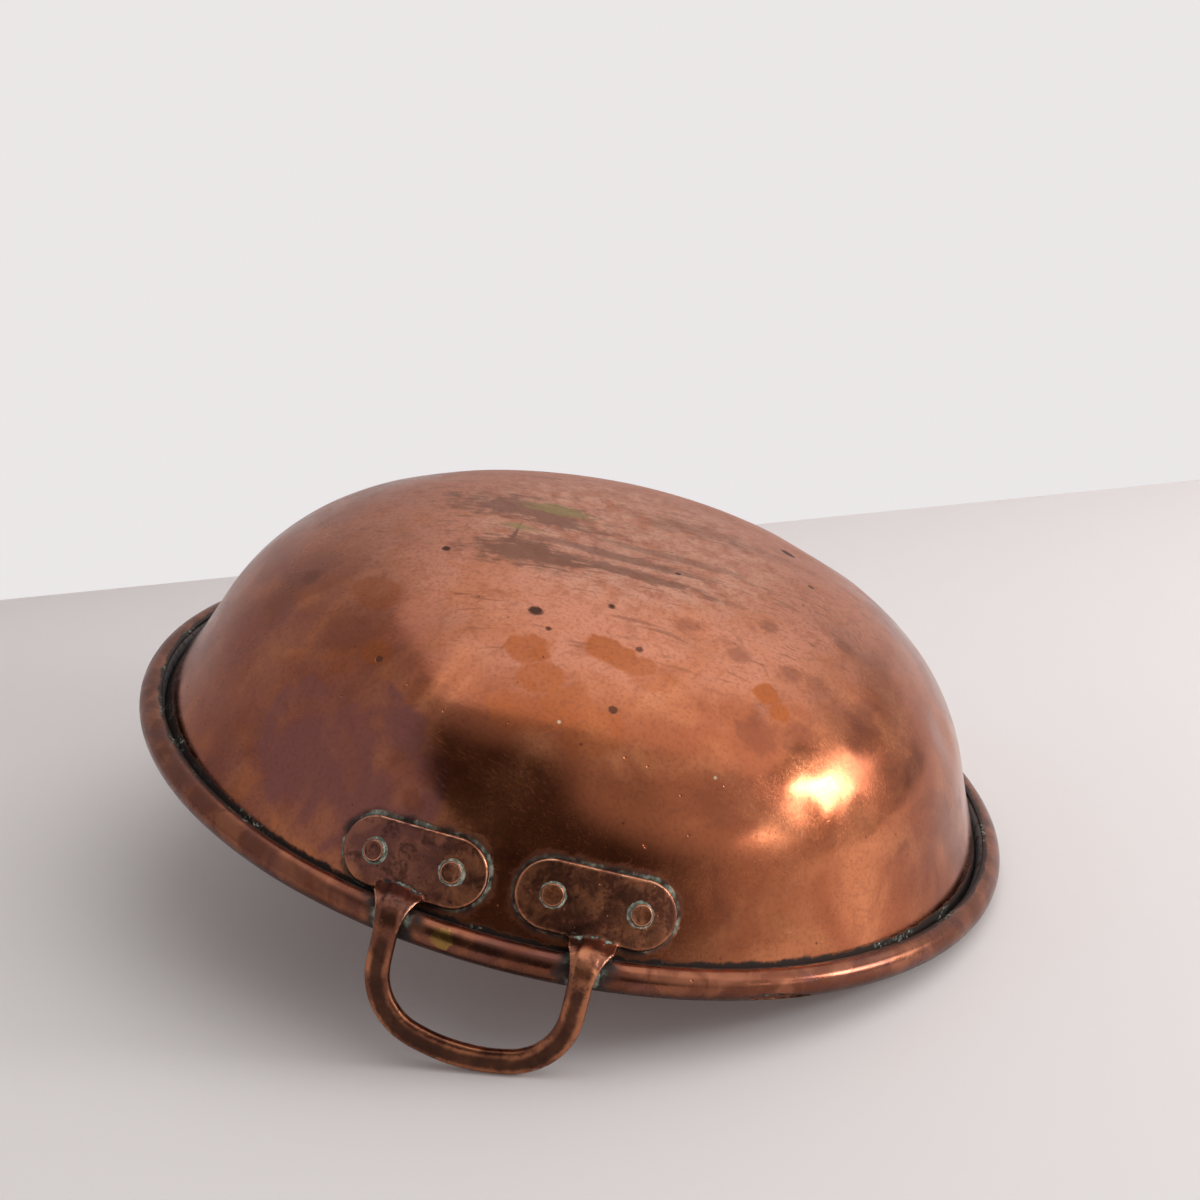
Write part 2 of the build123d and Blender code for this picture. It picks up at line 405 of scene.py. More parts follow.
class Graph:
    """Adds shader nodes to one tree and joins them."""

    def __init__(self, tree: bpy.types.NodeTree, empty: bool = True) -> None:
        """Start on a tree, which is emptied first unless it is kept."""
        self.tree = tree
        if empty:
            tree.nodes.clear()

    def node(self, kind: str, **settings: object) -> bpy.types.Node:
        """Add a node of a kind and set its named settings."""
        made = self.tree.nodes.new(kind)
        for name, value in settings.items():
            setattr(made, name, value)
        return made

    def feed(self, socket: Socket, value: object) -> None:
        """Join a socket to another, or set its constant."""
        if isinstance(value, bpy.types.NodeSocket):
            self.tree.links.new(value, socket)
        else:
            socket.default_value = value

    def math(self, operation: str, first: object, second: object = 0.0) -> Socket:
        """Result of a math operation on one or two numbers."""
        made = self.node("ShaderNodeMath", operation=operation)
        self.feed(made.inputs[0], first)
        if not made.inputs[1].is_unavailable:
            self.feed(made.inputs[1], second)
        return made.outputs[0]

    def turned(self, first: Socket, second: Socket, first_by: float, second_by: float) -> Socket:
        """Sum of two numbers, each times its own factor."""
        left = self.math("MULTIPLY", first, first_by)
        return self.math("ADD", left, self.math("MULTIPLY", second, second_by))

    def vector(self, operation: str, first: object, second: object = (0.0, 0.0, 0.0)) -> Socket:
        """Result of a vector operation; a length comes out as a number."""
        made = self.node("ShaderNodeVectorMath", operation=operation)
        self.feed(made.inputs[0], first)
        if operation != "LENGTH":
            self.feed(made.inputs[1], second)
        return made.outputs["Value" if operation == "LENGTH" else "Vector"]

    def rise(self, value: object, low: float, high: float, top: float = 1.0) -> Socket:
        """Smooth rise from 0 at low to top at high; low may lie above high."""
        made = self.node("ShaderNodeMapRange", interpolation_type="SMOOTHSTEP")
        self.feed(made.inputs["Value"], value)
        made.inputs["From Min"].default_value = low
        made.inputs["From Max"].default_value = high
        made.inputs["To Max"].default_value = top
        return made.outputs["Result"]

    def mix(self, share: object, first: object, second: object) -> Socket:
        """Blend two colours by a share."""
        made = self.node("ShaderNodeMix", data_type="RGBA")
        self.feed(made.inputs[0], share)
        for socket, value in ((made.inputs[6], first), (made.inputs[7], second)):
            self.feed(socket, (*value, 1.0) if isinstance(value, tuple) else value)
        return made.outputs[2]

    def blend(self, share: object, first: object, second: object) -> Socket:
        """Blend two numbers by a share."""
        made = self.node("ShaderNodeMix", data_type="FLOAT")
        for socket, value in zip(made.inputs[:1] + made.inputs[2:4], (share, first, second)):
            self.feed(socket, value)
        return made.outputs[0]

    def noise(self, where: Socket, size: float, detail: float = 3.0, warp: float = 0.0) -> Socket:
        """Cloudy noise whose lumps are about size wide."""
        made = self.node("ShaderNodeTexNoise")
        self.feed(made.inputs["Vector"], where)
        made.inputs["Scale"].default_value = 1.0 / size
        made.inputs["Detail"].default_value = detail
        made.inputs["Distortion"].default_value = warp
        return made.outputs["Fac"]

    def spots(self, where: Socket, size: float, spread: float, share: float) -> Socket:
        """Scattered round spots: cells of a size, of which a share holds a spot."""
        made = self.node("ShaderNodeTexVoronoi")
        self.feed(made.inputs["Vector"], where)
        made.inputs["Scale"].default_value = 1.0 / size
        dot = self.rise(made.outputs["Distance"], spread, spread * 0.4)
        picked = self.node("ShaderNodeSeparateColor")
        self.feed(picked.inputs[0], made.outputs["Color"])
        return self.math("MULTIPLY", dot, self.math("LESS_THAN", picked.outputs[0], share))

    def stretched(self, where: Socket, scale: Colour, turn: Colour = (0.0, 0.0, 0.0)) -> Socket:
        """Coordinates turned and then scaled along their axes."""
        turned = self.node("ShaderNodeMapping")
        self.feed(turned.inputs["Vector"], where)
        turned.inputs["Rotation"].default_value = tuple(math.radians(a) for a in turn)
        return self.vector("MULTIPLY", turned.outputs["Vector"], scale)

    def stored(self, name: str) -> Socket:
        """A number stored on the piece's vertices."""
        return self.node("ShaderNodeAttribute", attribute_name=name).outputs["Fac"]

    def pan_coordinates(self, place: PanPlace) -> Socket:
        """Object coordinates turned back to the pan's own frame, in millimetres."""
        back = place.matrix().inverted()
        made = self.node("ShaderNodeMapping")
        self.feed(made.inputs["Vector"], self.node("ShaderNodeTexCoord").outputs["Object"])
        made.inputs["Location"].default_value = back.translation
        made.inputs["Rotation"].default_value = (-place.tilt, 0.0, 0.0)
        made.inputs["Scale"].default_value = (1.0 / MM,) * 3
        return made.outputs["Vector"]

    def bump(self, height: Socket, depth: float, below: Socket | None = None) -> Socket:
        """Normal of a surface whose height changes by depth, in millimetres."""
        made = self.node("ShaderNodeBump")
        made.inputs["Distance"].default_value = depth * MM
        self.feed(made.inputs["Height"], height)
        if below is not None:
            self.feed(made.inputs["Normal"], below)
        return made.outputs["Normal"]

    def metal(self, colour: Socket, rough: Socket, metallic: object, normal: Socket) -> None:
        """End the tree in a metal surface."""
        shader = self.node("ShaderNodeBsdfPrincipled")
        self.feed(shader.inputs["Base Color"], colour)
        self.feed(shader.inputs["Roughness"], rough)
        self.feed(shader.inputs["Metallic"], metallic)
        self.feed(shader.inputs["Normal"], normal)
        end = self.node("ShaderNodeOutputMaterial")
        self.feed(end.inputs["Surface"], shader.outputs[0])


def new_graph(name: str) -> tuple[bpy.types.Material, Graph]:
    """Make a material with an empty tree."""
    material = bpy.data.materials.new(name)
    material.use_nodes = True
    return material, Graph(material.node_tree)


def dress(piece: bpy.types.Object, material: bpy.types.Material) -> None:
    """Give a piece one material, in place of any other."""
    piece.data.materials.clear()
    piece.data.materials.append(material)


# Finishes

@dataclass(frozen=True)
class Verdigris:
    """Green and pale crust that grows where water stays on copper."""

    green: Colour = (0.19, 0.265, 0.20)
    pale: Colour = (0.66, 0.69, 0.59)
    dirt: Colour = (0.018, 0.013, 0.011)

    def crust(self, graph: Graph, where: Socket) -> Socket:
        """Colour of the crust, mottled from green to pale."""
        mottled = graph.rise(graph.noise(where, 2.6, 4.0), 0.42, 0.66)
        return graph.mix(mottled, self.green, self.pale)


@dataclass(frozen=True)
class Mark:
    """One stain, patch or pit on the bowl; its direction in degrees, the rest in millimetres."""

    around: float
    height: float
    wide: float
    tall: float
    strength: float = 1.0


@dataclass(frozen=True)
class Smear:
    """One long mark on the base: its middle, its half length along Y and its half width."""

    x: float
    y: float
    long: float
    wide: float
    strength: float = 1.0


@dataclass(frozen=True)
class BowlCopper:
    """Old copper sheet: half polished on the wall, dull and streaked on the base."""

    bright: Colour = (0.50, 0.175, 0.08)
    brown: Colour = (0.35, 0.105, 0.048)
    dark: Colour = (0.19, 0.058, 0.034)
    purple: Colour = (0.26, 0.095, 0.082)
    salmon: Colour = (0.56, 0.23, 0.142)
    grey: Colour = (0.20, 0.080, 0.047)
    chalk: Colour = (0.66, 0.33, 0.22)
    amber: Colour = (0.37, 0.098, 0.028)
    olive: Colour = (0.34, 0.25, 0.09)
    speck: Colour = (0.55, 0.43, 0.29)
    brass: Colour = (0.31, 0.175, 0.05)
    pit: Colour = (0.095, 0.041, 0.028)
    rim_brown: Colour = (0.175, 0.060, 0.034)
    rim_bright: Colour = (0.29, 0.108, 0.060)
    rim_purple: Colour = (0.150, 0.060, 0.050)
    verdigris: Verdigris = Verdigris()
    stains: tuple[Mark, ...] = (
        Mark(171.0, 92.9, 9.0, 6.0, 0.75),
        Mark(176.0, 87.5, 10.0, 7.0, 0.65),
        Mark(-178.5, 82.0, 13.0, 9.0, 0.50),
        Mark(-173.0, 77.0, 13.0, 9.0, 0.45),
        Mark(-174.2, 97.2, 8.5, 4.2, 0.80),
        Mark(-170.0, 96.0, 8.5, 3.6, 0.75),
        Mark(-166.0, 94.8, 8.0, 3.4, 0.65),
        Mark(-138.7, 90.6, 6.0, 4.5, 0.90),
        Mark(-138.0, 86.5, 5.0, 4.5, 0.80),
        Mark(135.0, 88.3, 13.0, 6.0, 0.50),
        Mark(147.0, 77.0, 7.0, 5.0, 0.60),
        Mark(174.0, 77.5, 11.0, 8.0, 0.45),
        Mark(-162.8, 92.6, 10.0, 4.0, 0.40),
        Mark(40.0, 88.0, 24.0, 12.0, 0.6),
        Mark(-30.0, 80.0, 16.0, 12.0, 0.6),
        Mark(95.0, 70.0, 18.0, 11.0, 0.5),
    )
    patches: tuple[Mark, ...] = (
        Mark(119.4, 79.7, 5.0, 3.6, 0.60),
        Mark(139.0, 77.0, 15.0, 8.0, 0.30),
        Mark(-144.3, 81.4, 10.0, 8.0, 0.50),
        Mark(-136.1, 79.6, 9.0, 6.0, 0.45),
        Mark(-105.3, 95.4, 5.0, 3.0, 0.50),
        Mark(-150.6, 103.4, 7.0, 2.2, 0.50),
        Mark(-140.7, 98.6, 5.5, 2.6, 0.50),
        Mark(-129.4, 94.4, 5.0, 3.0, 0.50),
        Mark(-123.3, 102.6, 4.5, 2.0, 0.45),
        Mark(-119.1, 81.6, 8.0, 9.0, 0.40),
        Mark(-150.0, 62.0, 18.0, 10.0, 0.35),
        Mark(165.0, 39.0, 5.0, 4.0, 0.55),
        Mark(70.0, 66.0, 18.0, 9.0, 0.5),
        Mark(-60.0, 72.0, 22.0, 9.0, 0.5),
        Mark(10.0, 92.0, 20.0, 9.0, 0.5),
    )
    pits: tuple[Mark, ...] = (
        Mark(166.8, 100.5, 3.4, 1.5),
        Mark(127.9, 102.3, 2.4, 1.3),
        Mark(-55.2, 102.7, 4.2, 2.4),
        Mark(-174.4, 104.9, 2.0, 1.2),
        Mark(-166.0, 98.5, 1.9, 1.6, 0.8),
        Mark(-170.5, 84.2, 2.0, 1.8, 0.8),
        Mark(-136.2, 108.6, 1.5, 1.5, 0.9),
        Mark(-81.9, 102.9, 1.8, 1.4, 0.8),
        Mark(172.2, 98.2, 1.6, 1.1, 0.9),
        Mark(148.5, 75.7, 1.7, 1.6, 0.8),
        Mark(32.0, 99.0, 3.0, 2.2),
    )
    blush: tuple[Mark, ...] = (
        Mark(152.8, 40.8, 47.0, 33.0, 0.9),
        Mark(-35.0, 45.0, 40.0, 26.0, 0.6),
    )
    smears: tuple[Smear, ...] = (
        Smear(-47.0, 35.0, 28.0, 12.0, 0.85),
        Smear(2.0, 44.0, 34.0, 14.0, 0.75),
        Smear(-42.0, -8.0, 36.0, 4.5, 0.70),
        Smear(-27.0, 2.0, 42.0, 4.5, 0.60),
        Smear(-12.0, -24.0, 30.0, 3.5, 0.45),
        Smear(30.0, -30.0, 34.0, 9.0, 0.40),
        Smear(-28.0, 44.0, 0.8, 13.0, 0.9),
    )
    spills: tuple[Smear, ...] = (
        Smear(-21.0, 44.0, 8.0, 3.6, 0.75),
        Smear(10.0, 33.0, 16.0, 6.0, 0.75),
    )

    def material(self, shape: PanShape, place: PanPlace) -> bpy.types.Material:
        """Build the bowl's material.

        Args:
            shape: the pan's sizes.
            place: how the pan lies.

        Returns:
            The new material.
        """
        material, graph = new_graph("bowl_copper")
        pan = graph.pan_coordinates(place)
        axes = graph.node("ShaderNodeSeparateXYZ")
        graph.feed(axes.inputs[0], pan)
        base = self.base_share(graph, pan, axes.outputs["Z"])
        pits = self.marked(graph, pan, shape, self.pits, 2.0, 0.5, 0.45)
        colour = self.sheet_colour(graph, pan, axes, base, shape)
        colour = graph.mix(pits, colour, self.pit)
        colour = self.bead_colour(graph, pan, axes, colour)
        dirt, crust = self.grime(graph, pan, axes, shape)
        colour = graph.mix(dirt, colour, self.verdigris.dirt)
        colour = graph.mix(crust, colour, self.verdigris.crust(graph, pan))
        rough = self.roughness(graph, pan, base)
        dull = graph.math("MAXIMUM", graph.math("MAXIMUM", dirt, crust), pits)
        rough = graph.blend(dull, rough, 0.6)
        soot = graph.math("MULTIPLY", dirt, 0.75)
        metallic = graph.blend(graph.math("MAXIMUM", soot, crust), 1.0, 0.0)
        graph.metal(colour, rough, metallic, self.relief(graph, pan, crust, pits))
        return material

    def base_share(self, graph: Graph, pan: Socket, height: Socket) -> Socket:
        """Share of the dull base finish, which ends in a ragged line on the shoulder."""
        ragged = graph.math("MULTIPLY", graph.noise(pan, 34.0, 4.0, 0.6), 30.0)
        return graph.rise(graph.math("ADD", height, ragged), 94.0, 117.0)

    def marked(
        self,
        graph: Graph,
        pan: Socket,
        shape: PanShape,
        marks: Sequence[Mark],
        grain: float,
        edge: float,
        ragged: float,
    ) -> Socket:
        """Share of a set of marks with ragged outlines.

        Args:
            graph: the tree to add to.
            pan: coordinates in the pan's own frame.
            shape: the pan's sizes.
            marks: the marks to draw.
            grain: width of the lumps in their outlines.
            edge: how soft the outline is, as a share of the mark's size.
            ragged: how far the lumps move the outline, as a share of the mark's size.

        Returns:
            The strongest mark's share at each point.
        """
        lumps = graph.math("SUBTRACT", graph.noise(pan, grain, 5.0, 0.8), 0.5)
        lumps = graph.math("MULTIPLY", lumps, ragged)
        total: object = 0.0
        for mark in marks:
            middle = tuple(section_place(shape, mark.around, mark.height))
            away = graph.vector("SUBTRACT", pan, middle)
            away = graph.vector("DIVIDE", away, (mark.wide, mark.wide, mark.tall))
            reach = graph.math("ADD", graph.vector("LENGTH", away), lumps)
            spot = graph.rise(reach, 1.0 + edge / 2, 1.0 - edge / 2, mark.strength)
            total = graph.math("MAXIMUM", spot, total)
        return total

    def sheet_colour(
        self, graph: Graph, pan: Socket, axes: bpy.types.Node, base: Socket, shape: PanShape
    ) -> Socket:
        """Colour of the bare copper, with its tarnish, streaks, stains and specks; the purple on
        its +Y side is partly painted reflection.
        """
        cloud = graph.noise(pan, 44.0, 6.0, 0.9)
        wall = graph.mix(graph.rise(cloud, 0.38, 0.64), self.brown, self.bright)
        smoky = graph.noise(graph.vector("ADD", pan, (90.0, 20.0, 0.0)), 55.0, 5.0, 1.4)
        wall = graph.mix(graph.rise(smoky, 0.53, 0.66, 0.5), wall, self.dark)
        # Purple on the +Y side: partly tarnish, partly a painted reflection of the pale wall there;
        # the blush marks are tarnish
        left = graph.rise(axes.outputs["Y"], 0.0, 120.0, 0.45)
        tint = graph.rise(graph.noise(pan, 22.0, 5.0, 0.7), 0.34, 0.58)
        blush = self.marked(graph, pan, shape, self.blush, 26.0, 0.14, 0.5)
        purple_tarnish_and_reflection = graph.math("MULTIPLY", graph.math("MAXIMUM", left, blush), tint)
        wall = graph.mix(purple_tarnish_and_reflection, wall, self.purple)
        wall = graph.mix(graph.math("MULTIPLY", blush, 0.45), wall, self.purple)
        top = self.base_colour(graph, pan, axes.outputs["Z"])
        colour = graph.mix(base, wall, top)
        stained = self.marked(graph, pan, shape, self.stains, 10.0, 0.35, 1.1)
        colour = graph.mix(stained, colour, self.amber)
        patched = self.marked(graph, pan, shape, self.patches, 6.0, 0.8, 1.3)
        colour = graph.mix(patched, colour, self.dark)
        colour = graph.mix(self.tide_lines(graph, pan), colour, self.dark)
        grain = graph.rise(graph.noise(pan, 1.7, 4.0), 0.44, 0.70, 0.30)
        colour = graph.mix(grain, colour, self.dark)
        colour = graph.mix(graph.spots(pan, 15.0, 0.06, 0.45), colour, self.dark)
        cloudy = graph.rise(cloud, 0.42, 0.56, 0.8)
        fine = graph.math("MULTIPLY", graph.spots(pan, 5.0, 0.09, 0.18), cloudy)
        colour = graph.mix(fine, colour, self.dark)
        colour = graph.mix(graph.spots(pan, 29.0, 0.035, 0.4), colour, self.speck)
        return self.inside_colour(graph, pan, colour)

    def base_colour(self, graph: Graph, pan: Socket, height: Socket) -> Socket:
        """Colour of the dull base: pale salmon with brown smears and two olive spills."""
        tone = graph.rise(graph.noise(pan, 19.0, 5.0, 0.8), 0.44, 0.66, 0.6)
        top = graph.mix(tone, self.salmon, self.bright)
        mottled = graph.rise(graph.noise(pan, 9.0, 5.0), 0.36, 0.62)
        chalky = graph.math("MULTIPLY", graph.rise(height, 103.0, 108.3), mottled)
        top = graph.mix(chalky, top, self.chalk)
        worn = graph.rise(graph.noise(pan, 6.0, 5.0, 0.5), 0.50, 0.66, 0.35)
        top = graph.mix(worn, top, self.brown)
        run = graph.stretched(pan, (1.0, 0.10, 1.0), (0.0, 0.0, -8.0))
        streak = graph.math("SUBTRACT", graph.noise(run, 3.2, 6.0, 0.6), 0.5)
        top = graph.mix(graph.rise(streak, 0.08, 0.20, 0.5), top, self.grey)
        top = graph.mix(self.smeared(graph, pan, self.smears, streak), top, self.grey)
        return graph.mix(self.smeared(graph, pan, self.spills, streak), top, self.olive)

    def smeared(self, graph: Graph, pan: Socket, marks: Sequence[Smear], streak: Socket) -> Socket:
        """Share of a set of smears whose outlines follow the streaks.

        Args:
            graph: the tree to add to.
            pan: coordinates in the pan's own frame.
            marks: the smears to draw.
            streak: the streaks' noise, round 0.

        Returns:
            The strongest smear's share at each point.
        """
        lumps = graph.math("SUBTRACT", graph.noise(pan, 7.0, 5.0, 0.6), 0.5)
        lumps = graph.turned(streak, lumps, 2.0, 1.7)
        total: object = 0.0
        for mark in marks:
            away = graph.vector("SUBTRACT", pan, (mark.x, mark.y, BASE_LEVEL))
            away = graph.vector("DIVIDE", away, (mark.wide, mark.long, SMEAR_DEPTH))
            reach = graph.math("ADD", graph.vector("LENGTH", away), lumps)
            spot = graph.rise(reach, 1.35, 0.60, mark.strength)
            total = graph.math("MAXIMUM", spot, total)
        return total

    def tide_lines(self, graph: Graph, pan: Socket) -> Socket:
        """Share of the thin dark lines that dried water leaves."""
        level = graph.noise(graph.vector("ADD", pan, (0.0, 60.0, 30.0)), 38.0, 2.0, 0.6)
        away = graph.math("ABSOLUTE", graph.math("SUBTRACT", level, 0.53))
        broken = graph.rise(graph.noise(pan, 16.0, 3.0), 0.48, 0.66, 0.28)
        return graph.math("MULTIPLY", graph.rise(away, 0.022, 0.004), broken)

    def inside_colour(self, graph: Graph, pan: Socket, outside: Socket) -> Socket:
        """Change to the evener, redder copper of the inside where the face is inside."""
        ring = graph.noise(graph.stretched(pan, (0.06, 0.06, 0.9)), 3.0, 4.0, 0.3)
        patch = graph.noise(pan, 35.0, 5.0, 0.6)
        inside = graph.mix(graph.rise(ring, 0.3, 0.7), self.salmon, self.brown)
        inside = graph.mix(graph.rise(patch, 0.5, 0.68, 0.6), inside, self.purple)
        return graph.mix(graph.stored(Part.INSIDE.value), outside, inside)

    def bead_colour(self, graph: Graph, pan: Socket, axes: bpy.types.Node, sheet: Socket) -> Socket:
        """Change to the darker, handled copper of the rolled rim, with one brassy rub and a darker
        low side, partly dirt and partly painted reflection of the floor's shadow.
        """
        drawn = graph.noise(pan, 13.0, 5.0, 0.7)
        bead = graph.mix(graph.rise(drawn, 0.40, 0.64), self.rim_brown, self.rim_bright)
        smoky = graph.rise(graph.noise(pan, 21.0, 4.0, 0.8), 0.44, 0.66, 0.7)
        bead = graph.mix(smoky, bead, self.rim_purple)
        # Darker towards the bead's low side by the floor: partly dirt, partly a painted reflection
        # of the floor's shadow
        underside_dirt_and_shade = graph.math("ADD", axes.outputs["Z"], graph.math("MULTIPLY", drawn, 5.0))
        bead = graph.mix(graph.rise(underside_dirt_and_shade, 3.6, -2.0, 0.9), bead, self.pit)
        rub = graph.vector("SUBTRACT", pan, (-195.5, 17.0, 2.0))
        rub = graph.vector("DIVIDE", rub, (9.0, 4.6, 4.0))
        lumps = graph.math("MULTIPLY", graph.noise(pan, 2.0, 4.0), 1.1)
        reach = graph.math("ADD", graph.vector("LENGTH", rub), lumps)
        rubbed = graph.rise(reach, 1.52, 1.45, 0.95)
        bead = graph.mix(rubbed, bead, self.brass)
        spot = graph.vector("LENGTH", graph.vector("SUBTRACT", pan, (-190.0, -57.5, 4.5)))
        bead = graph.mix(graph.rise(graph.math("ADD", spot, drawn), 3.0, 2.2, 0.9), bead, self.pit)
        return graph.mix(graph.stored(Part.BEAD.value), sheet, bead)

    def grime(
        self, graph: Graph, pan: Socket, axes: bpy.types.Node, shape: PanShape
    ) -> tuple[Socket, Socket]:
        """Shares of dark dirt and of green crust, in the groove, round the lugs and by the legs."""
        patch = graph.math("SUBTRACT", graph.noise(pan, 8.0, 5.0, 0.6), 0.5)
        fine = graph.math("SUBTRACT", graph.noise(pan, 1.6, 4.0), 0.5)
        outside = graph.math("SUBTRACT", 1.0, graph.stored(Part.INSIDE.value))
        off_bead = graph.math("SUBTRACT", 1.0, graph.stored(Part.BEAD.value))
        outline = self.lug_outline(graph, axes, shape)
        halo = graph.rise(graph.turned(outline, patch, 1.0, 7.0), 4.0, -0.4, 0.93)
        halo = graph.math("MULTIPLY", halo, off_bead)
        groove = graph.turned(graph.stored(Part.GROOVE.value), patch, 1.0, 1.1)
        in_groove = graph.rise(graph.turned(groove, fine, 1.0, 0.5), 0.40, 0.85, 0.96)
        leg = self.leg_distance(graph, axes)
        sooty = graph.rise(graph.turned(leg, patch, 1.0, 16.0), 9.0, 2.5, 0.93)
        dirt = graph.math("MAXIMUM", graph.math("MAXIMUM", halo, in_groove), sooty)
        edge = graph.math("ABSOLUTE", graph.math("SUBTRACT", outline, 0.2))
        broken = graph.rise(patch, -0.10, 0.12)
        edge = graph.turned(graph.turned(edge, fine, 1.0, 1.6), patch, 1.0, -3.0)
        edge = graph.rise(edge, 1.3, 0.1, 0.85)
        strong = graph.blend(graph.rise(graph.noise(pan, 21.0, 3.0), 0.42, 0.60), 0.25, 1.0)
        kept = graph.math("MULTIPLY", strong, off_bead)
        edge = graph.math("MULTIPLY", graph.math("MULTIPLY", edge, broken), kept)
        seam = graph.rise(graph.stored(Part.GROOVE.value), 0.45, 0.9)
        wet = graph.rise(graph.noise(pan, 24.0, 3.0), 0.52, 0.62, 0.9)
        dotted = graph.rise(fine, 0.02, 0.14)
        line = graph.math("MULTIPLY", graph.math("MULTIPLY", seam, wet), dotted)
        caked = graph.rise(patch, -0.03, 0.10, 0.85)
        by_leg = graph.math("MULTIPLY", graph.rise(leg, 4.4, 0.8), caked)
        crust = graph.math("MAXIMUM", graph.math("MAXIMUM", edge, line), by_leg)
        return graph.math("MULTIPLY", dirt, outside), graph.math("MULTIPLY", crust, outside)

    def leg_distance(self, graph: Graph, axes: bpy.types.Node) -> Socket:
        """Rough distance on the bead from the nearest leg's side, in millimetres."""
        side = graph.math("SUBTRACT", graph.math("ABSOLUTE", axes.outputs["Y"]), LEG_MIDDLE)
        side = graph.math("SUBTRACT", graph.math("ABSOLUTE", side), LEG_HALF_WIDTH)
        level = graph.math("SUBTRACT", 3.5, axes.outputs["Z"])
        side = graph.turned(side, graph.math("MAXIMUM", level, 0.0), 1.0, 0.35)
        high = graph.math("MAXIMUM", graph.math("SUBTRACT", axes.outputs["Z"], 9.0), 0.0)
        far = graph.math("SUBTRACT", 182.0, graph.math("ABSOLUTE", axes.outputs["X"]))
        far = graph.math("MAXIMUM", far, 0.0)
        return graph.math("ADD", side, graph.turned(high, far, 3.0, 3.0))

    def lug_outline(self, graph: Graph, axes: bpy.types.Node, shape: PanShape) -> Socket:
        """Distance on the wall outside the nearest lug's outline, in millimetres."""
        out = graph.math("ABSOLUTE", axes.outputs["X"])
        around = graph.math("ARCTAN2", axes.outputs["Y"], out)
        nearest: object = 100.0
        for lug in shape.lugs:
            radius = shape.wall_radius(lug.rise)
            middle = lug.side * radius * math.asin(lug.across / radius)
            half = (lug.length - shape.lug_height) / 2
            tilt = -lug.side * math.radians(lug.droop)
            arc = graph.math("SUBTRACT", graph.math("MULTIPLY", around, radius), middle)
            rise = graph.math("SUBTRACT", axes.outputs["Z"], lug.rise)
            rise = graph.math("DIVIDE", rise, math.cos(math.radians(shape.wall_lean)))
            along = graph.turned(arc, rise, math.cos(tilt), math.sin(tilt))
            across = graph.turned(rise, arc, math.cos(tilt), -math.sin(tilt))
            beyond = graph.math("SUBTRACT", graph.math("ABSOLUTE", along), half)
            beyond = graph.math("MAXIMUM", beyond, 0.0)
            beyond = graph.math("MULTIPLY", beyond, beyond)
            across = graph.math("MULTIPLY", across, across)
            middle_off = graph.math("SQRT", graph.math("ADD", beyond, across))
            distance = graph.math("SUBTRACT", middle_off, shape.lug_height / 2)
            nearest = graph.math("MINIMUM", distance, nearest)
        return nearest

    def roughness(self, graph: Graph, pan: Socket, base: Socket) -> Socket:
        """Roughness: half polished wall, dull base, and fine scratches in both."""
        cloud = graph.rise(graph.noise(pan, 30.0, 5.0, 0.8), 0.38, 0.66)
        wall = graph.blend(cloud, 0.14, 0.24)
        rough = graph.blend(base, wall, 0.42)
        rough = graph.blend(graph.stored(Part.INSIDE.value), rough, 0.36)
        rough = graph.blend(graph.stored(Part.BEAD.value), rough, graph.blend(cloud, 0.20, 0.32))
        scratch = graph.noise(graph.stretched(pan, (1.6, 0.05, 0.9), (0.0, 0.0, 25.0)), 1.0, 2.0)
        scratched = graph.rise(scratch, 0.5, 0.75)
        return graph.turned(rough, scratched, 1.0, 0.10)

    def relief(self, graph: Graph, pan: Socket, crust: Socket, pits: Socket) -> Socket:
        """Normal with the hammer's soft flats, pits, scratches and the crust's grain."""
        cells = graph.node("ShaderNodeTexVoronoi", feature="SMOOTH_F1")
        graph.feed(cells.inputs["Vector"], pan)
        cells.inputs["Scale"].default_value = 1.0 / 17.0
        hammer = graph.bump(cells.outputs["Distance"], 0.10)
        hollows = graph.math("MULTIPLY", graph.spots(pan, 9.0, 0.08, 0.3), -1.0)
        pitted = graph.bump(graph.math("SUBTRACT", hollows, pits), 0.22, hammer)
        fine = graph.noise(graph.stretched(pan, (0.9, 0.12, 1.0), (0.0, 0.0, 20.0)), 1.4, 4.0)
        scratched = graph.bump(fine, 0.010, pitted)
        lone = graph.noise(graph.stretched(pan, (0.05, 0.7, 0.5), (0.0, 30.0, 50.0)), 1.1, 2.0)
        scored = graph.bump(graph.rise(lone, 0.70, 0.78), 0.02, scratched)
        return graph.bump(graph.math("MULTIPLY", crust, graph.noise(pan, 1.0, 4.0)), 0.4, scored)


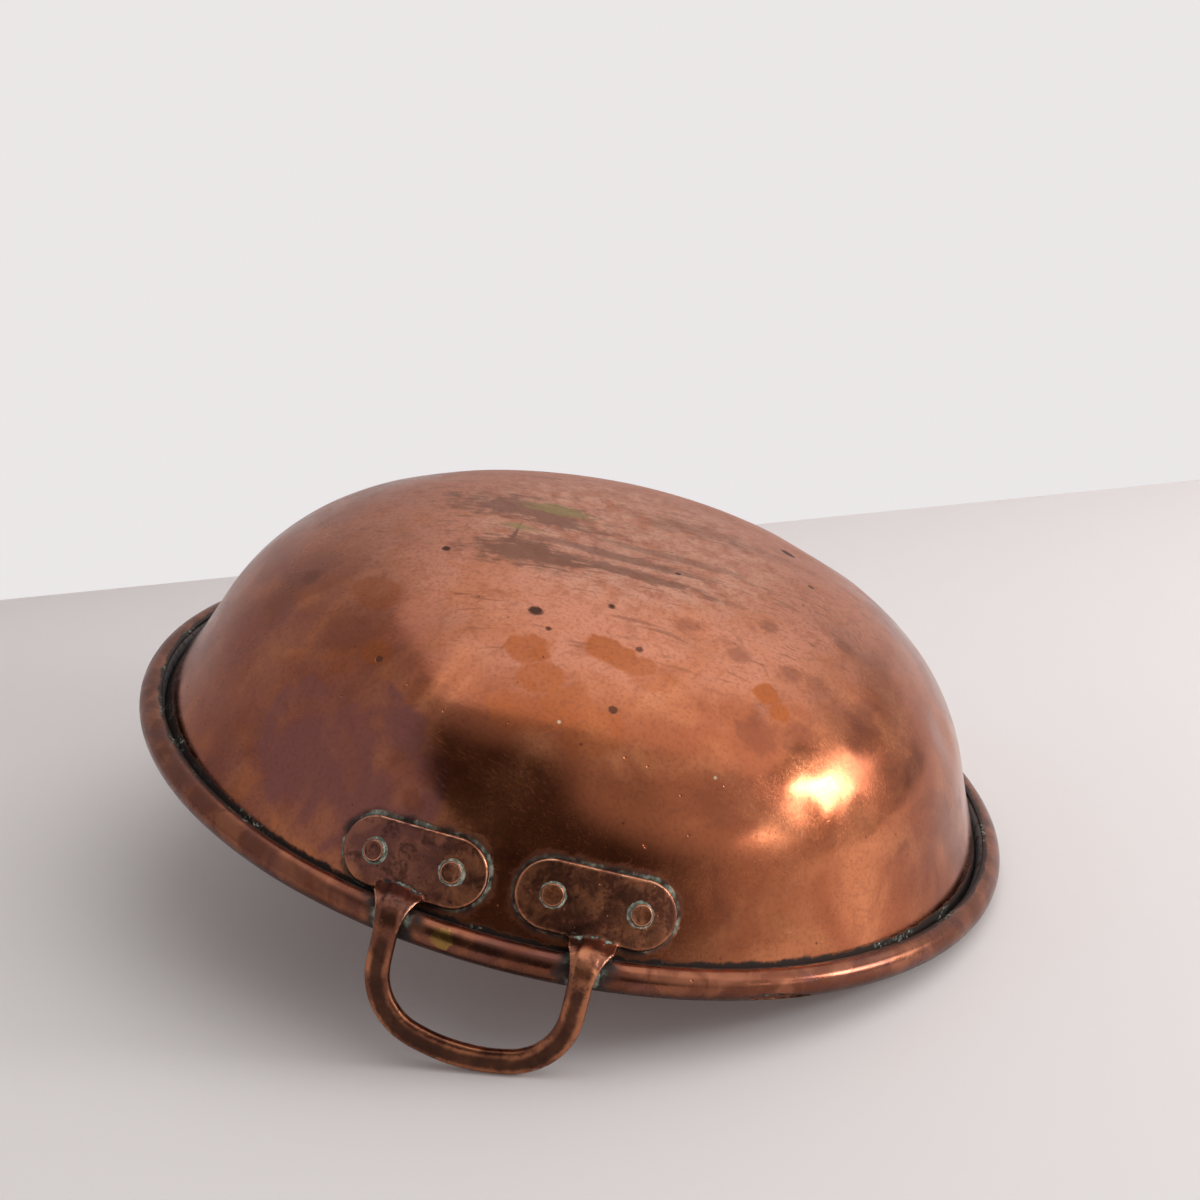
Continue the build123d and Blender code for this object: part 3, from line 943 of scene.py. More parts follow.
@dataclass(frozen=True)
class ForgedCopper:
    """Dark forged copper with bright worn edges and crust in its hollows."""

    name: str
    body: Colour
    warm: Colour
    purple: Colour = (0.20, 0.078, 0.072)
    worn: Colour = (0.66, 0.33, 0.21)
    dark_brown: Colour = (0.055, 0.026, 0.019)
    rough: float = 0.28
    verdigris: Verdigris = Verdigris()

    def material(self, place: PanPlace) -> bpy.types.Material:
        """Build the material.

        Args:
            place: how the pan lies.

        Returns:
            The new material.
        """
        material, graph = new_graph(self.name)
        pan = graph.pan_coordinates(place)
        fine = graph.math("SUBTRACT", graph.noise(pan, 1.4, 5.0), 0.5)
        patch = graph.math("SUBTRACT", graph.noise(pan, 9.0, 5.0, 0.7), 0.5)
        colour = self.copper(graph, pan, fine, patch)
        uneven = graph.turned(fine, patch, 0.5, 1.7)
        worn = graph.math("ADD", graph.stored(Wear.EDGE.value), uneven)
        worn = graph.rise(worn, 0.42, 0.95, 0.85)
        colour = graph.mix(worn, colour, self.worn)
        # The strip by the bowl's wall is darkened as painted shade of the gap between lug and wall;
        # the hollows get real dirt
        near_wall = graph.stored(Wear.NEAR_WALL.value)
        hollow = graph.math("MAXIMUM", graph.stored(Wear.HOLLOW.value), near_wall)
        dirt = graph.rise(graph.turned(hollow, fine, 1.0, 0.3), 0.10, 0.75, 0.93)
        colour = graph.mix(dirt, colour, self.verdigris.dirt)
        crust = self.crusted(graph, fine, patch)
        colour = graph.mix(crust, colour, self.verdigris.crust(graph, pan))
        rough = graph.blend(graph.rise(fine, -0.2, 0.2), self.rough, self.rough + 0.12)
        rough = graph.blend(worn, rough, 0.24)
        rough = graph.blend(graph.math("MAXIMUM", dirt, crust), rough, 0.66)
        soot = graph.math("MULTIPLY", dirt, 0.7)
        metallic = graph.blend(graph.math("MAXIMUM", soot, crust), 1.0, 0.0)
        grain = graph.bump(patch, 0.30)
        pitted = graph.math("MULTIPLY", graph.spots(pan, 3.2, 0.15, 0.25), -1.0)
        grain = graph.bump(pitted, 0.14, grain)
        filed = graph.noise(graph.stretched(pan, (1.0, 0.14, 1.0), (0.0, 20.0, 15.0)), 1.2, 4.0)
        grain = graph.bump(filed, 0.03, grain)
        grain = graph.bump(graph.math("MULTIPLY", crust, fine), 0.5, grain)
        graph.metal(colour, rough, metallic, grain)
        return material

    def copper(self, graph: Graph, pan: Socket, fine: Socket, patch: Socket) -> Socket:
        """Colour of the forged copper itself, smoky, with dark pits and a purple side, and darker
        along the bar's middle line.
        """
        axes = graph.node("ShaderNodeSeparateXYZ")
        graph.feed(axes.inputs[0], pan)
        cloud = graph.turned(graph.noise(pan, 17.0, 5.0, 0.6), fine, 1.0, 0.25)
        colour = graph.mix(graph.rise(cloud, 0.42, 0.60), self.body, self.warm)
        left = graph.rise(graph.turned(axes.outputs["Y"], patch, 1.0, 90.0), 5.0, 40.0, 0.60)
        high = graph.rise(axes.outputs["Z"], 8.0, 14.0)
        colour = graph.mix(graph.math("MULTIPLY", left, high), colour, self.purple)
        scaly = graph.rise(graph.turned(patch, fine, 1.0, 0.5), -0.02, 0.22, 0.75)
        colour = graph.mix(scaly, colour, self.dark_brown)
        uneven = graph.turned(patch, fine, 1.1, 0.4)
        # Darker along the middle line of the bar
        darker_mid_bar = graph.math("ADD", graph.stored(Wear.BAR_MIDDLE.value), uneven)
        colour = graph.mix(graph.rise(darker_mid_bar, 0.10, 0.95, 0.90), colour, self.dark_brown)
        return graph.mix(graph.spots(pan, 4.2, 0.12, 0.22), colour, self.verdigris.dirt)

    def crusted(self, graph: Graph, fine: Socket, patch: Socket) -> Socket:
        """Share of the pale crust round the rivets, in the hollows and along the wall."""
        ring = graph.turned(graph.stored(Wear.RIVET_RING.value), patch, 1.0, 1.9)
        deep = graph.stored(Wear.HOLLOW.value)
        caught = graph.math("MULTIPLY", deep, graph.rise(patch, -0.10, 0.04))
        by_wall = graph.stored(Wear.NEAR_WALL.value)
        edge = graph.math("MULTIPLY", by_wall, graph.rise(patch, -0.12, 0.06))
        where = graph.math("MAXIMUM", graph.math("MAXIMUM", ring, caught), edge)
        return graph.rise(graph.turned(where, fine, 1.0, 1.1), 0.46, 0.82, 0.90)


@dataclass(frozen=True)
class DullIron:
    """Grey iron wire with darker rust in its pits."""

    grey: Colour = (0.20, 0.205, 0.21)
    rust: Colour = (0.10, 0.06, 0.045)

    def material(self, place: PanPlace) -> bpy.types.Material:
        """Build the material of the wire in the rim."""
        material, graph = new_graph("dull_iron")
        pan = graph.pan_coordinates(place)
        patch = graph.noise(pan, 3.5, 4.0, 0.5)
        colour = graph.mix(graph.rise(patch, 0.5, 0.72), self.grey, self.rust)
        rough = graph.blend(patch, 0.45, 0.7)
        graph.metal(colour, rough, 0.75, graph.bump(graph.noise(pan, 0.8, 4.0), 0.12))
        return material


def section_place(shape: PanShape, around: float, height: float) -> Vector:
    """Point on the bowl's outer face at a direction and a height, in millimetres."""
    (shoulder_r, shoulder_z), (crown_r, crown_z) = shape.arc_centres()
    join = shoulder_z + shape.shoulder_radius * math.sin(math.radians(shape.shoulder_lean))
    if height <= shape.wall_height:
        radius = shape.wall_radius(height)
    elif height <= join:
        radius = shoulder_r + math.sqrt(shape.shoulder_radius**2 - (height - shoulder_z) ** 2)
    else:
        radius = crown_r + math.sqrt(max(0.0, shape.crown_radius**2 - (height - crown_z) ** 2))
    turn = math.radians(around)
    return Vector((radius * math.cos(turn), radius * math.sin(turn), height))


# Pieces

@dataclass
class Bowl:
    """The raised bowl: one sheet, dented with age, its edge rolled round the wire."""

    shape: PanShape
    place: PanPlace
    steps: int = 288
    sag: float = 1.1
    ripple: float = 0.35
    rub: float = 0.05
    # Dents pressed in: direction in degrees, height, radius and depth in millimetres
    dents: tuple[tuple[float, float, float, float], ...] = (
        (-150.0, 102.0, 17.0, 1.6),
        (-120.0, 84.0, 24.0, 1.3),
        (-168.0, 60.0, 22.0, 0.8),
        (150.0, 92.0, 26.0, 1.2),
        (-95.0, 62.0, 20.0, 1.1),
        (60.0, 96.0, 28.0, 1.4),
        (20.0, 78.0, 22.0, 1.0),
        (-40.0, 88.0, 25.0, 1.3),
        (-138.5, 57.0, 13.0, 0.45),
        (-128.0, 52.0, 12.0, 0.35),
        (-135.0, 74.0, 14.0, 0.40),
        (-22.0, 104.0, 20.0, 1.5),
        (-55.0, 101.0, 14.0, 0.9),
    )

    def profile(self) -> list[tuple[float, float]]:
        """Section of the sheet, from the axis down its outer face, round the roll and back."""
        shape = self.shape
        shoulder, crown = shape.arc_centres()
        wire = (shape.rim_radius, 0.0)
        lean, turn, top = shape.wall_lean, shape.shoulder_lean, shape.base_height()
        outer_foot = arc_points(wire, shape.roll_inside, lean - 180, shape.roll_end, 30)
        inner_foot = arc_points(wire, shape.bead_radius - self.rub, shape.roll_end, lean - 180, 40)

        def face(depth: float) -> list[tuple[float, float]]:
            """One face of the sheet from the axis down to the top of the cone."""
            flat_end = (crown[0], top - depth)
            points = [(0.0, top - depth)] + line_points((0.0, top - depth), flat_end, 5)
            points += arc_points(crown, shape.crown_radius - depth, 90.0, turn, 16)
            return points + arc_points(shoulder, shape.shoulder_radius - depth, turn, lean, 26)[1:]

        outer = face(0.0)
        inner = face(shape.sheet)
        points = outer + line_points(outer[-1], outer_foot[0], 20) + outer_foot
        points += line_points(outer_foot[-1], inner_foot[0], 1) + inner_foot
        points += line_points(inner_foot[-1], inner[-1], 20) + inner[::-1]
        return points

    def build(self) -> bpy.types.Object:
        """Model the bowl, wear the hole in its roll, dent it and lay it in the frame.

        Returns:
            The finished piece, with its finish and its stored shares.
        """
        piece = spin_profile("bowl_sheet", self.profile(), self.steps)
        self.wear_through(piece)
        self.mark_faces(piece)
        self.press_dents(piece)
        piece.data.transform(self.place.matrix())
        dress(piece, BowlCopper().material(self.shape, self.place))
        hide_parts("bowl")
        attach(piece, BODY)
        return piece

    def wear_through(self, piece: bpy.types.Object) -> None:
        """Cut the ragged hole that age wore through the roll, down to the wire."""
        shape = self.shape
        deselect_all()
        bpy.ops.mesh.primitive_uv_sphere_add(segments=48, ring_count=24, radius=1.0)
        cutter = bpy.context.object
        turn = math.radians(shape.worn_around)
        lean = math.radians(shape.worn_turn)
        out = Vector((math.cos(turn), math.sin(turn), 0.0))
        along = Vector((-math.sin(turn), math.cos(turn), 0.0))
        normal = out * math.cos(lean) + Vector((0.0, 0.0, math.sin(lean)))
        axes = Matrix((along, normal.cross(along), normal)).transposed().to_4x4()
        places = vertex_array(cutter)
        blunt = np.sign(places) * np.abs(places) ** 0.7
        blunt *= np.array([shape.worn_length / 2, shape.worn_width / 2, 3.0])
        ragged = field_at(blunt, 2.5, 5.0) * 0.14 + 1.0
        blunt[:, 1] *= ragged
        taper = 1.0 - 0.55 * smooth_step(blunt[:, 0], 0.0, shape.worn_length / 2)
        blunt[:, 1] *= taper
        set_vertices(cutter, blunt)
        origin = out * shape.rim_radius + normal * (shape.bead_radius + 0.6)
        cutter.data.transform(Matrix.Translation(origin) @ axes)
        cut = piece.modifiers.new("worn_place", "BOOLEAN")
        cut.operation = "DIFFERENCE"
        cut.solver = "EXACT"
        cut.object = cutter
        apply_modifiers(piece)
        bpy.data.objects.remove(cutter)

    def mark_faces(self, piece: bpy.types.Object) -> None:
        """Store which vertices lie inside the bowl, on the bead and in the groove."""
        shape = self.shape
        places = vertex_array(piece)
        normals = vertex_array(piece, "normal")
        radius = np.hypot(places[:, 0], places[:, 1])
        outward = np.stack([places[:, 0], places[:, 1], places[:, 2] - 10.0], -1)
        faces_out = (normals * outward).sum(1) > 0
        from_wire = np.hypot(radius - shape.rim_radius, places[:, 2])
        turn = np.degrees(np.arctan2(places[:, 2], radius - shape.rim_radius))
        on_roll = from_wire < shape.bead_radius + 0.05
        in_roll = from_wire < shape.roll_inside + 0.3
        store(piece, Part.INSIDE.value, (~faces_out & ~on_roll).astype(float))
        store(piece, Part.BEAD.value, (on_roll & ~in_roll).astype(float))
        wall = smooth_step(places[:, 2], 7.4, 4.4) * (faces_out & ~on_roll)
        bead = smooth_step(turn, 76.0, 114.0) * on_roll
        store(piece, Part.GROOVE.value, np.maximum(np.maximum(wall, bead), in_roll))

    def press_dents(self, piece: bpy.types.Object) -> None:
        """Move the sheet inwards in soft sags, ripples and dents, clear of lugs and rim."""
        shape = self.shape
        places = vertex_array(piece)
        height = places[:, 2]
        away = np.abs(np.degrees(np.arctan2(np.abs(places[:, 1]), np.abs(places[:, 0]))))
        high = smooth_step(height, 42.0, 62.0)
        beside = smooth_step(away, 25.0, 38.0) * smooth_step(height, 9.0, 24.0)
        free = np.maximum(high, beside)
        inward = np.array([0.0, 0.0, 15.0]) - places
        inward /= np.linalg.norm(inward, axis=1)[:, None]
        depth = self.sag * (0.5 + 0.5 * field_at(places, 62.0, 3.0))
        depth += self.ripple * (0.5 + 0.5 * field_at(places, 27.0, 8.0))
        for around, level, radius, deep in self.dents:
            centre = np.array(section_place(shape, around, level))
            distance = np.linalg.norm(places - centre, axis=1)
            depth += deep * smooth_step(distance, radius, 0.0)
        set_vertices(piece, places + inward * (depth * free)[:, None])


@dataclass
class Handle:
    """One forged handle with its two lugs, softened by the hammer and by wear."""

    shape: PanShape
    place: PanPlace
    side: Side
    voxel: float = 0.00062
    rounds: int = 5

    @property
    def node(self) -> str:
        """Name of the solid that this handle stands for."""
        return f"handle_{self.side.name.lower()}"

    def build(self, source: bpy.types.Object) -> bpy.types.Object:
        """Soften a copy of the solid handle and store its wear.

        Args:
            source: the solid handle.

        Returns:
            The finished piece.
        """
        deselect_all()
        piece = source.copy()
        piece.data = source.data.copy()
        piece.parent = None
        piece.name = f"forged_{self.node}"
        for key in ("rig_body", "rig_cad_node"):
            del piece[key]
        bpy.context.scene.collection.objects.link(piece)
        take_up(piece)
        bpy.ops.object.mode_set(mode="EDIT")
        bpy.ops.mesh.select_all(action="SELECT")
        bpy.ops.mesh.remove_doubles(threshold=1e-6)
        bpy.ops.object.mode_set(mode="OBJECT")
        remesh = piece.modifiers.new("even", "REMESH")
        remesh.mode = "VOXEL"
        remesh.voxel_size = self.voxel
        soften = piece.modifiers.new("soften", "SMOOTH")
        soften.iterations = self.rounds
        soften.factor = 0.5
        apply_modifiers(piece)
        self.hammer(piece)
        self.store_wear(piece)
        bpy.ops.object.shade_smooth()
        dress(piece, HANDLE_COPPER.material(self.place))
        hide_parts(self.node)
        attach(piece, BODY)
        return piece

    def hammer(self, piece: bpy.types.Object) -> None:
        """Sink the surface a little and unevenly, as forging leaves it."""
        places = vertex_array(piece)
        normals = vertex_array(piece, "normal")
        broad = 0.11 * (1.0 + field_at(places / MM, 11.0, 4.0))
        depth = broad + 0.05 * (1.0 + field_at(places / MM, 4.0, 9.0))
        set_vertices(piece, places - normals * (depth * MM)[:, None])

    def store_wear(self, piece: bpy.types.Object) -> None:
        """Store worn edges, hollows, the strip near the wall, where shade is painted, and the rings
        round the rivets.
        """
        shape = self.shape
        curve = self.curvature(piece)
        store(piece, Wear.EDGE.value, smooth_step(curve, 0.05, 0.26))
        store(piece, Wear.HOLLOW.value, smooth_step(-curve, 0.05, 0.24))
        back = np.array(self.place.matrix().inverted())
        places = vertex_array(piece) @ back[:3, :3].T + back[:3, 3]
        lean = math.radians(shape.wall_lean)
        radius = np.hypot(places[:, 0], places[:, 1])
        wall = np.array([shape.wall_radius(z) for z in places[:, 2]])
        off_wall = (radius - wall) * math.cos(lean)
        low = smooth_step(places[:, 2], 4.0, 8.0)
        # Near the wall the lug takes painted shade of the gap, and crust
        store(piece, Wear.NEAR_WALL.value, smooth_step(off_wall, 2.4, 0.9) * low)
        ring = np.zeros(len(places))
        for spot in shape.rivet_places(self.side):
            middle = np.array(spot @ Vector((0.0, 0.0, shape.lug_thickness)))
            distance = np.linalg.norm(places - middle, axis=1)
            ring = np.maximum(ring, smooth_step(distance, 6.1, 4.9))
        store(piece, Wear.RIVET_RING.value, ring)
        store(piece, Wear.BAR_MIDDLE.value, self.bar_middle(places))

    def bar_middle(self, places: np.ndarray) -> np.ndarray:
        """Give how near each vertex is to the middle line of the bar, from 0 to 1.

        Args:
            places: the vertices in the pan's own frame, in millimetres.

        Returns:
            A share for each vertex, 0 above the rim.
        """
        shape = self.shape
        across = np.abs(places[:, 1])
        down = -places[:, 2] / math.cos(math.radians(shape.loop_lean))
        inset = LEG_MIDDLE - shape.loop_corner
        deep = shape.loop_reach - shape.loop_bottom
        corner = deep + math.sqrt((shape.loop_bottom - shape.loop_corner) ** 2 - inset**2)
        round_corner = np.hypot(across - inset, down - corner) - shape.loop_corner
        round_bottom = np.hypot(across, down - deep) - shape.loop_bottom
        share = (across * (corner - deep) - (down - deep) * inset) > 0
        away = np.where(share, round_corner, round_bottom)
        away = np.where(down < corner, across - LEG_MIDDLE, away)
        return smooth_step(np.abs(away), 4.2, 1.0) * smooth_step(down, -6.0, 6.0)

    def curvature(self, piece: bpy.types.Object) -> np.ndarray:
        """Give how far each vertex stands proud of its smoothed surroundings, in millimetres."""
        places = vertex_array(piece)
        normals = vertex_array(piece, "normal")
        edges = np.zeros(len(piece.data.edges) * 2, np.int32)
        piece.data.edges.foreach_get("vertices", edges)
        first, second = edges.reshape(-1, 2).T
        count = np.bincount(edges, minlength=len(places)).astype(float)[:, None]
        soft = places.copy()
        for _ in range(10):
            total = np.zeros_like(soft)
            for axis in range(3):
                total[:, axis] += np.bincount(first, soft[second, axis], len(places))
                total[:, axis] += np.bincount(second, soft[first, axis], len(places))
            soft = 0.5 * soft + 0.5 * total / count
        return ((places - soft) * normals).sum(1) / MM


@dataclass
class Rivet:
    """One copper rivet: a peened flat head outside, the shank and a low head inside."""

    shape: PanShape
    place: PanPlace
    side: Side
    number: int
    head_radius: float = 4.8
    head_height: float = 1.9
    shank_radius: float = 3.2
    inner_radius: float = 5.6
    inner_height: float = 1.3
    seat: float = 0.02
    inner_seat: float = 0.14

    @property
    def node(self) -> str:
        """Name of the solid that this rivet stands for."""
        return f"rivet_{self.side.name.lower()}_{self.number}"

    def profile(self) -> list[tuple[float, float]]:
        """Section from the inner head's middle, along the shank, to the outer head's middle."""
        low = -self.shape.sheet - self.inner_seat
        seat = self.shape.lug_gap + self.shape.lug_thickness + self.seat
        top = seat + self.head_height
        inner = [
            (0.0, low - self.inner_height),
            (self.inner_radius * 0.45, low - self.inner_height * 0.95),
            (self.inner_radius * 0.78, low - self.inner_height * 0.72),
            (self.inner_radius * 0.95, low - self.inner_height * 0.38),
            (self.inner_radius, low - self.inner_height * 0.10),
            (self.inner_radius * 0.98, low),
            (self.shank_radius, low),
        ]
        outer = [
            (self.shank_radius, seat),
            (self.head_radius * 0.99, seat),
            (self.head_radius, seat + self.head_height * 0.30),
            (self.head_radius * 0.985, seat + self.head_height * 0.62),
            (self.head_radius * 0.94, top - self.head_height * 0.16),
            (self.head_radius * 0.87, top - self.head_height * 0.02),
            (self.head_radius * 0.79, top),
            (self.head_radius * 0.70, top - self.head_height * 0.07),
            (self.head_radius * 0.45, top - self.head_height * 0.10),
            (0.0, top - self.head_height * 0.07),
        ]
        return inner + outer

    def build(self) -> bpy.types.Object:
        """Model the rivet, peen its head unevenly and set it in its lug.

        Returns:
            The finished piece.
        """
        piece = spin_profile(f"peened_{self.node}", self.profile(), 40)
        refine = piece.modifiers.new("round", "SUBSURF")
        refine.levels = 1
        refine.render_levels = 1
        apply_modifiers(piece)
        self.store_wear(piece)
        self.peen(piece)
        spot = self.shape.rivet_places(self.side)[self.number - 1]
        piece.data.transform(self.place.matrix() @ spot)
        dress(piece, RIVET_COPPER.material(self.place))
        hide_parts(self.node)
        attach(piece, BODY)
        return piece

    def peen(self, piece: bpy.types.Object) -> None:
        """Knock the outer head a little flat and out of round, another way on each rivet."""
        places = vertex_array(piece)
        seed = self.number * 3.1 + self.side.value
        seat = self.shape.lug_gap + self.shape.lug_thickness + self.seat
        head = smooth_step(places[:, 2], seat + 0.1, seat + 0.8)
        squeeze = 1.0 - head * 0.035 * (1.0 + field_at(places, 3.2, seed))
        places[:, 0] *= squeeze
        places[:, 1] *= squeeze
        places[:, 2] -= head * 0.16 * (1.0 + field_at(places, 2.6, seed + 7.0))
        set_vertices(piece, places)

    def store_wear(self, piece: bpy.types.Object) -> None:
        """Store the bright rim of the head and the crust at its foot."""
        places = vertex_array(piece)
        radius = np.hypot(places[:, 0], places[:, 1]) / self.head_radius
        seat = self.shape.lug_gap + self.shape.lug_thickness + self.seat
        level = (places[:, 2] - seat) / self.head_height
        outside = level > -0.01
        rim = 0.8 * smooth_step(np.abs(radius - 0.84), 0.12, 0.02) * (level > 0.7)
        foot = smooth_step(level, 0.95, 0.35) * outside
        store(piece, Wear.EDGE.value, rim)
        store(piece, Wear.HOLLOW.value, np.zeros(len(places)))
        store(piece, Wear.NEAR_WALL.value, np.zeros(len(places)))
        store(piece, Wear.BAR_MIDDLE.value, np.zeros(len(places)))
        store(piece, Wear.RIVET_RING.value, foot)


@dataclass
class Studio:
    """Floor, light and camera, which aren't part of the pan."""

    place: PanPlace
    azimuth: float = -80.11
    elevation: float = 20.01
    distance: float = 1.13264
    shift_right: float = 0.01095
    shift_up: float = 0.0699
    focal_pixels: float = 2500.0
    frame_pixels: float = 1200.0
    sensor: float = 36.0
    wall_top: float = 0.30
    floor_colour: Colour = (0.84, 0.795, 0.78)
    wall_colour: Colour = (0.83, 0.80, 0.805)

    def build(self) -> None:
        """Make the floor, the lights, the world and the camera."""
        self.floor()
        self.lamps()
        self.world()
        self.camera()

    def floor(self) -> None:
        """Lay a wide, plain, pale floor and stand a plain pale wall behind it."""
        self.plain("floor", self.floor_colour, 0.5, 0.06)
        wall = self.plain("back_wall", self.wall_colour, 0.8, 1.0)
        self.open_wall(wall.data.materials[0])
        foot_left = Vector((0.268, 0.391, 0.0))
        foot_right = Vector((0.630, -0.311, 0.0))
        along = (foot_right - foot_left).normalized()
        axes = Matrix((along, Vector((0.0, 0.0, 1.0)), along.cross(Vector((0.0, 0.0, 1.0)))))
        lift = Matrix.Translation((foot_left + foot_right) / 2)
        wall.data.transform(lift @ axes.transposed().to_4x4())

    def plain(self, name: str, colour: Colour, rough: float, even: float) -> bpy.types.Object:
        """Make one large plain sheet of the stage, at the origin.

        Args:
            name: the sheet's name.
            colour: its colour.
            rough: its roughness.
            even: how much of its own colour the camera sees without light or shade.

        Returns:
            The sheet.
        """
        deselect_all()
        bpy.ops.mesh.primitive_plane_add(size=14.0, location=(0.0, 0.0, 0.0))
        sheet = bpy.context.object
        sheet.name = name
        material, graph = new_graph(f"{name}_paint")
        shader = graph.node("ShaderNodeBsdfPrincipled")
        shader.inputs["Base Color"].default_value = (*colour, 1.0)
        shader.inputs["Roughness"].default_value = rough
        glow = graph.node("ShaderNodeEmission")
        glow.inputs["Color"].default_value = (*colour, 1.0)
        seen = graph.node("ShaderNodeLightPath").outputs["Is Camera Ray"]
        share = graph.node("ShaderNodeMixShader")
        graph.feed(share.inputs[0], graph.math("MULTIPLY", seen, even))
        graph.feed(share.inputs[1], shader.outputs[0])
        graph.feed(share.inputs[2], glow.outputs[0])
        end = graph.node("ShaderNodeOutputMaterial")
        graph.feed(end.inputs["Surface"], share.outputs[0])
        dress(sheet, material)
        return sheet

    def open_wall(self, material: bpy.types.Material) -> None:
        """Let a wall be seen from its front only, and let light pass above its low part.

        Args:
            material: the wall's paint.
        """
        tree = material.node_tree
        end = next(node for node in tree.nodes if node.type == "OUTPUT_MATERIAL")
        paint = end.inputs["Surface"].links[0].from_socket
        graph = Graph(tree, empty=False)
        axes = graph.node("ShaderNodeSeparateXYZ")
        graph.feed(axes.inputs[0], graph.node("ShaderNodeTexCoord").outputs["Object"])
        seen = graph.node("ShaderNodeLightPath").outputs["Is Camera Ray"]
        unseen = graph.math("SUBTRACT", 1.0, seen)
        high = graph.math("GREATER_THAN", axes.outputs["Z"], self.wall_top)
        behind = graph.node("ShaderNodeNewGeometry").outputs["Backfacing"]
        share = graph.node("ShaderNodeMixShader")
        passed = graph.math("MAXIMUM", graph.math("MULTIPLY", unseen, high), behind)
        graph.feed(share.inputs[0], passed)
        graph.feed(share.inputs[1], paint)
        graph.feed(share.inputs[2], graph.node("ShaderNodeBsdfTransparent").outputs[0])
        graph.feed(end.inputs["Surface"], share.outputs[0])

    def lamp(
        self, name: str, spot: Colour, aim: Colour, size: tuple[float, float], power: float
    ) -> None:
        """Hang one rectangular lamp.

        Args:
            name: the lamp's name.
            spot: where it hangs.
            aim: what it shines at.
            size: its width and height in metres.
            power: its power in watts.
        """
        light = bpy.data.lights.new(name, "AREA")
        light.shape = "RECTANGLE"
        light.size, light.size_y = size
        light.energy = power
        made = bpy.data.objects.new(name, light)
        made.location = spot
        made.rotation_euler = (Vector(aim) - Vector(spot)).to_track_quat("-Z", "Y").to_euler()
        bpy.context.scene.collection.objects.link(made)

    def lamps(self) -> None:
        """Hang a window of three panes at the right and a soft top light."""
        middle = (0.0, 0.0, 0.08)
        self.lamp("window", (0.08, -1.62, 0.66), middle, (0.44, 0.36), 8.0)
        self.lamp("side_pane", (0.44, -1.55, 0.68), middle, (0.34, 0.30), 1.4)
        self.lamp("far_pane", (-0.61, -1.57, 0.43), middle, (0.26, 0.16), 0.7)
        self.lamp("top", (0.9, -1.0, 1.9), (0.9, -1.0, 0.0), (2.8, 3.2), 20.0)

    def world(self) -> None:
        """Surround the pan with a pale room that is dark behind the camera."""
        world = bpy.data.worlds.new("room")
        world.use_nodes = True
        bpy.context.scene.world = world
        graph = Graph(world.node_tree)
        axes = graph.node("ShaderNodeSeparateXYZ")
        graph.feed(axes.inputs[0], graph.node("ShaderNodeTexCoord").outputs["Generated"])
        x, y, z = (axes.outputs[name] for name in "XYZ")
        aside = graph.math("ARCTAN2", y, graph.math("MULTIPLY", x, -1.0))
        slant = graph.turned(aside, z, 1.0, -0.72)
        left_edge = graph.rise(slant, 0.20, 0.08)
        right_edge = graph.rise(graph.turned(aside, z, 1.0, -0.70), -1.30, -0.60)
        low = graph.rise(z, 0.995, 0.80)
        dark = graph.math("MULTIPLY", graph.math("MULTIPLY", left_edge, right_edge), low)
        right = graph.rise(y, 0.1, -0.9)
        colour = graph.mix(right, (0.52, 0.51, 0.52), (0.85, 0.83, 0.82))
        beyond = graph.math("MULTIPLY", graph.rise(x, 0.0, 0.8), graph.rise(y, 0.15, -0.30))
        colour = graph.mix(beyond, colour, (0.64, 0.62, 0.61))
        colour = graph.mix(dark, colour, (0.07, 0.062, 0.056))
        seen = graph.node("ShaderNodeLightPath").outputs["Is Camera Ray"]
        room = graph.node("ShaderNodeBackground")
        graph.feed(room.inputs["Color"], graph.mix(seen, colour, (0.84, 0.81, 0.82)))
        end = graph.node("ShaderNodeOutputWorld")
        graph.feed(end.inputs["Surface"], room.outputs[0])

    def camera(self) -> None:
        """Set the camera where the photograph was taken from."""
        turn = math.radians(self.azimuth)
        rise = math.radians(self.elevation)
        level = math.cos(rise)
        back = Vector((math.sin(turn) * level, -math.cos(turn) * level, math.sin(rise)))
        right = Vector((math.cos(turn), math.sin(turn), 0.0))
        up = back.cross(right)
        data = bpy.data.cameras.new("camera")
        data.sensor_width = self.sensor
        data.lens = self.focal_pixels / self.frame_pixels * self.sensor
        camera = bpy.data.objects.new("camera", data)
        rim_centre = Vector((0.0, 0.0, self.place.rim_height))
        aside = right * self.shift_right + up * self.shift_up
        camera.location = rim_centre + back * self.distance + aside
        camera.rotation_euler = (math.pi / 2 - rise, 0.0, turn)
        bpy.context.scene.collection.objects.link(camera)
        bpy.context.scene.camera = camera


HANDLE_COPPER = ForgedCopper("forged_copper", body=(0.20, 0.076, 0.047), warm=(0.47, 0.185, 0.095))
RIVET_COPPER = ForgedCopper("rivet_copper", body=(0.32, 0.115, 0.055), warm=(0.48, 0.19, 0.09))


@dataclass
class JamPan:
    """The whole pan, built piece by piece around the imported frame."""

    frame: dict
    shape: PanShape
    place: PanPlace

    def build(self, report: Callable[[bpy.types.Object], None]) -> None:
        """Build every piece and report it.

        Args:
            report: called with each finished piece.
        """
        report(Bowl(self.shape, self.place).build())
        for side in Side:
            handle = Handle(self.shape, self.place, side)
            report(handle.build(self.frame["nodes"][handle.node]))
            for number in range(1, RIVETS_A_HANDLE + 1):
                report(Rivet(self.shape, self.place, side, number).build())
        report(self.dress_wire())

    def dress_wire(self) -> bpy.types.Object:
        """Give the solid wire its iron finish."""
        wire = self.frame["nodes"]["rim_wire"]
        dress(wire, DullIron().material(self.place))
        return wire


def report_piece(piece: bpy.types.Object) -> None:
    """Log a finished piece and its size."""
    faces = len(piece.data.polygons)
    LOG.info("%s: %d faces", piece.name, faces)


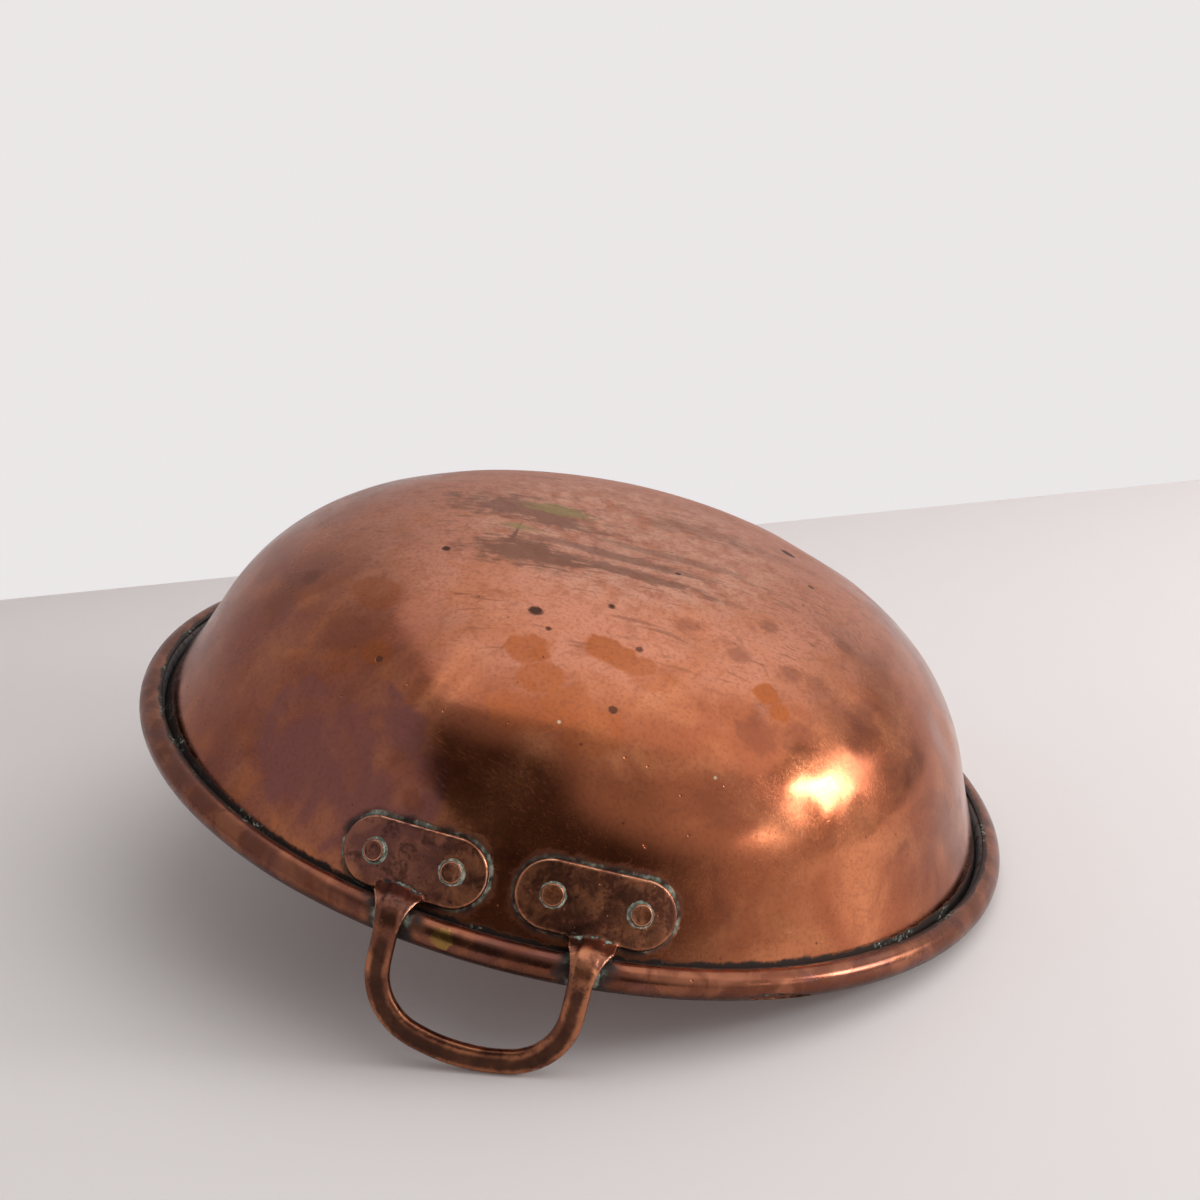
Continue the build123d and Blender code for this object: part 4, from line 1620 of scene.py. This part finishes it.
def main() -> None:
    """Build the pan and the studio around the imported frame."""
    logging.basicConfig(level=logging.INFO, format="%(message)s")
    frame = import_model()
    place = PanPlace.from_record(frame["record"])
    JamPan(frame, PanShape(), place).build(report_piece)
    Studio(place).build()
    bpy.context.scene.view_settings.view_transform = "Standard"


if __name__ == "__main__":
    main()
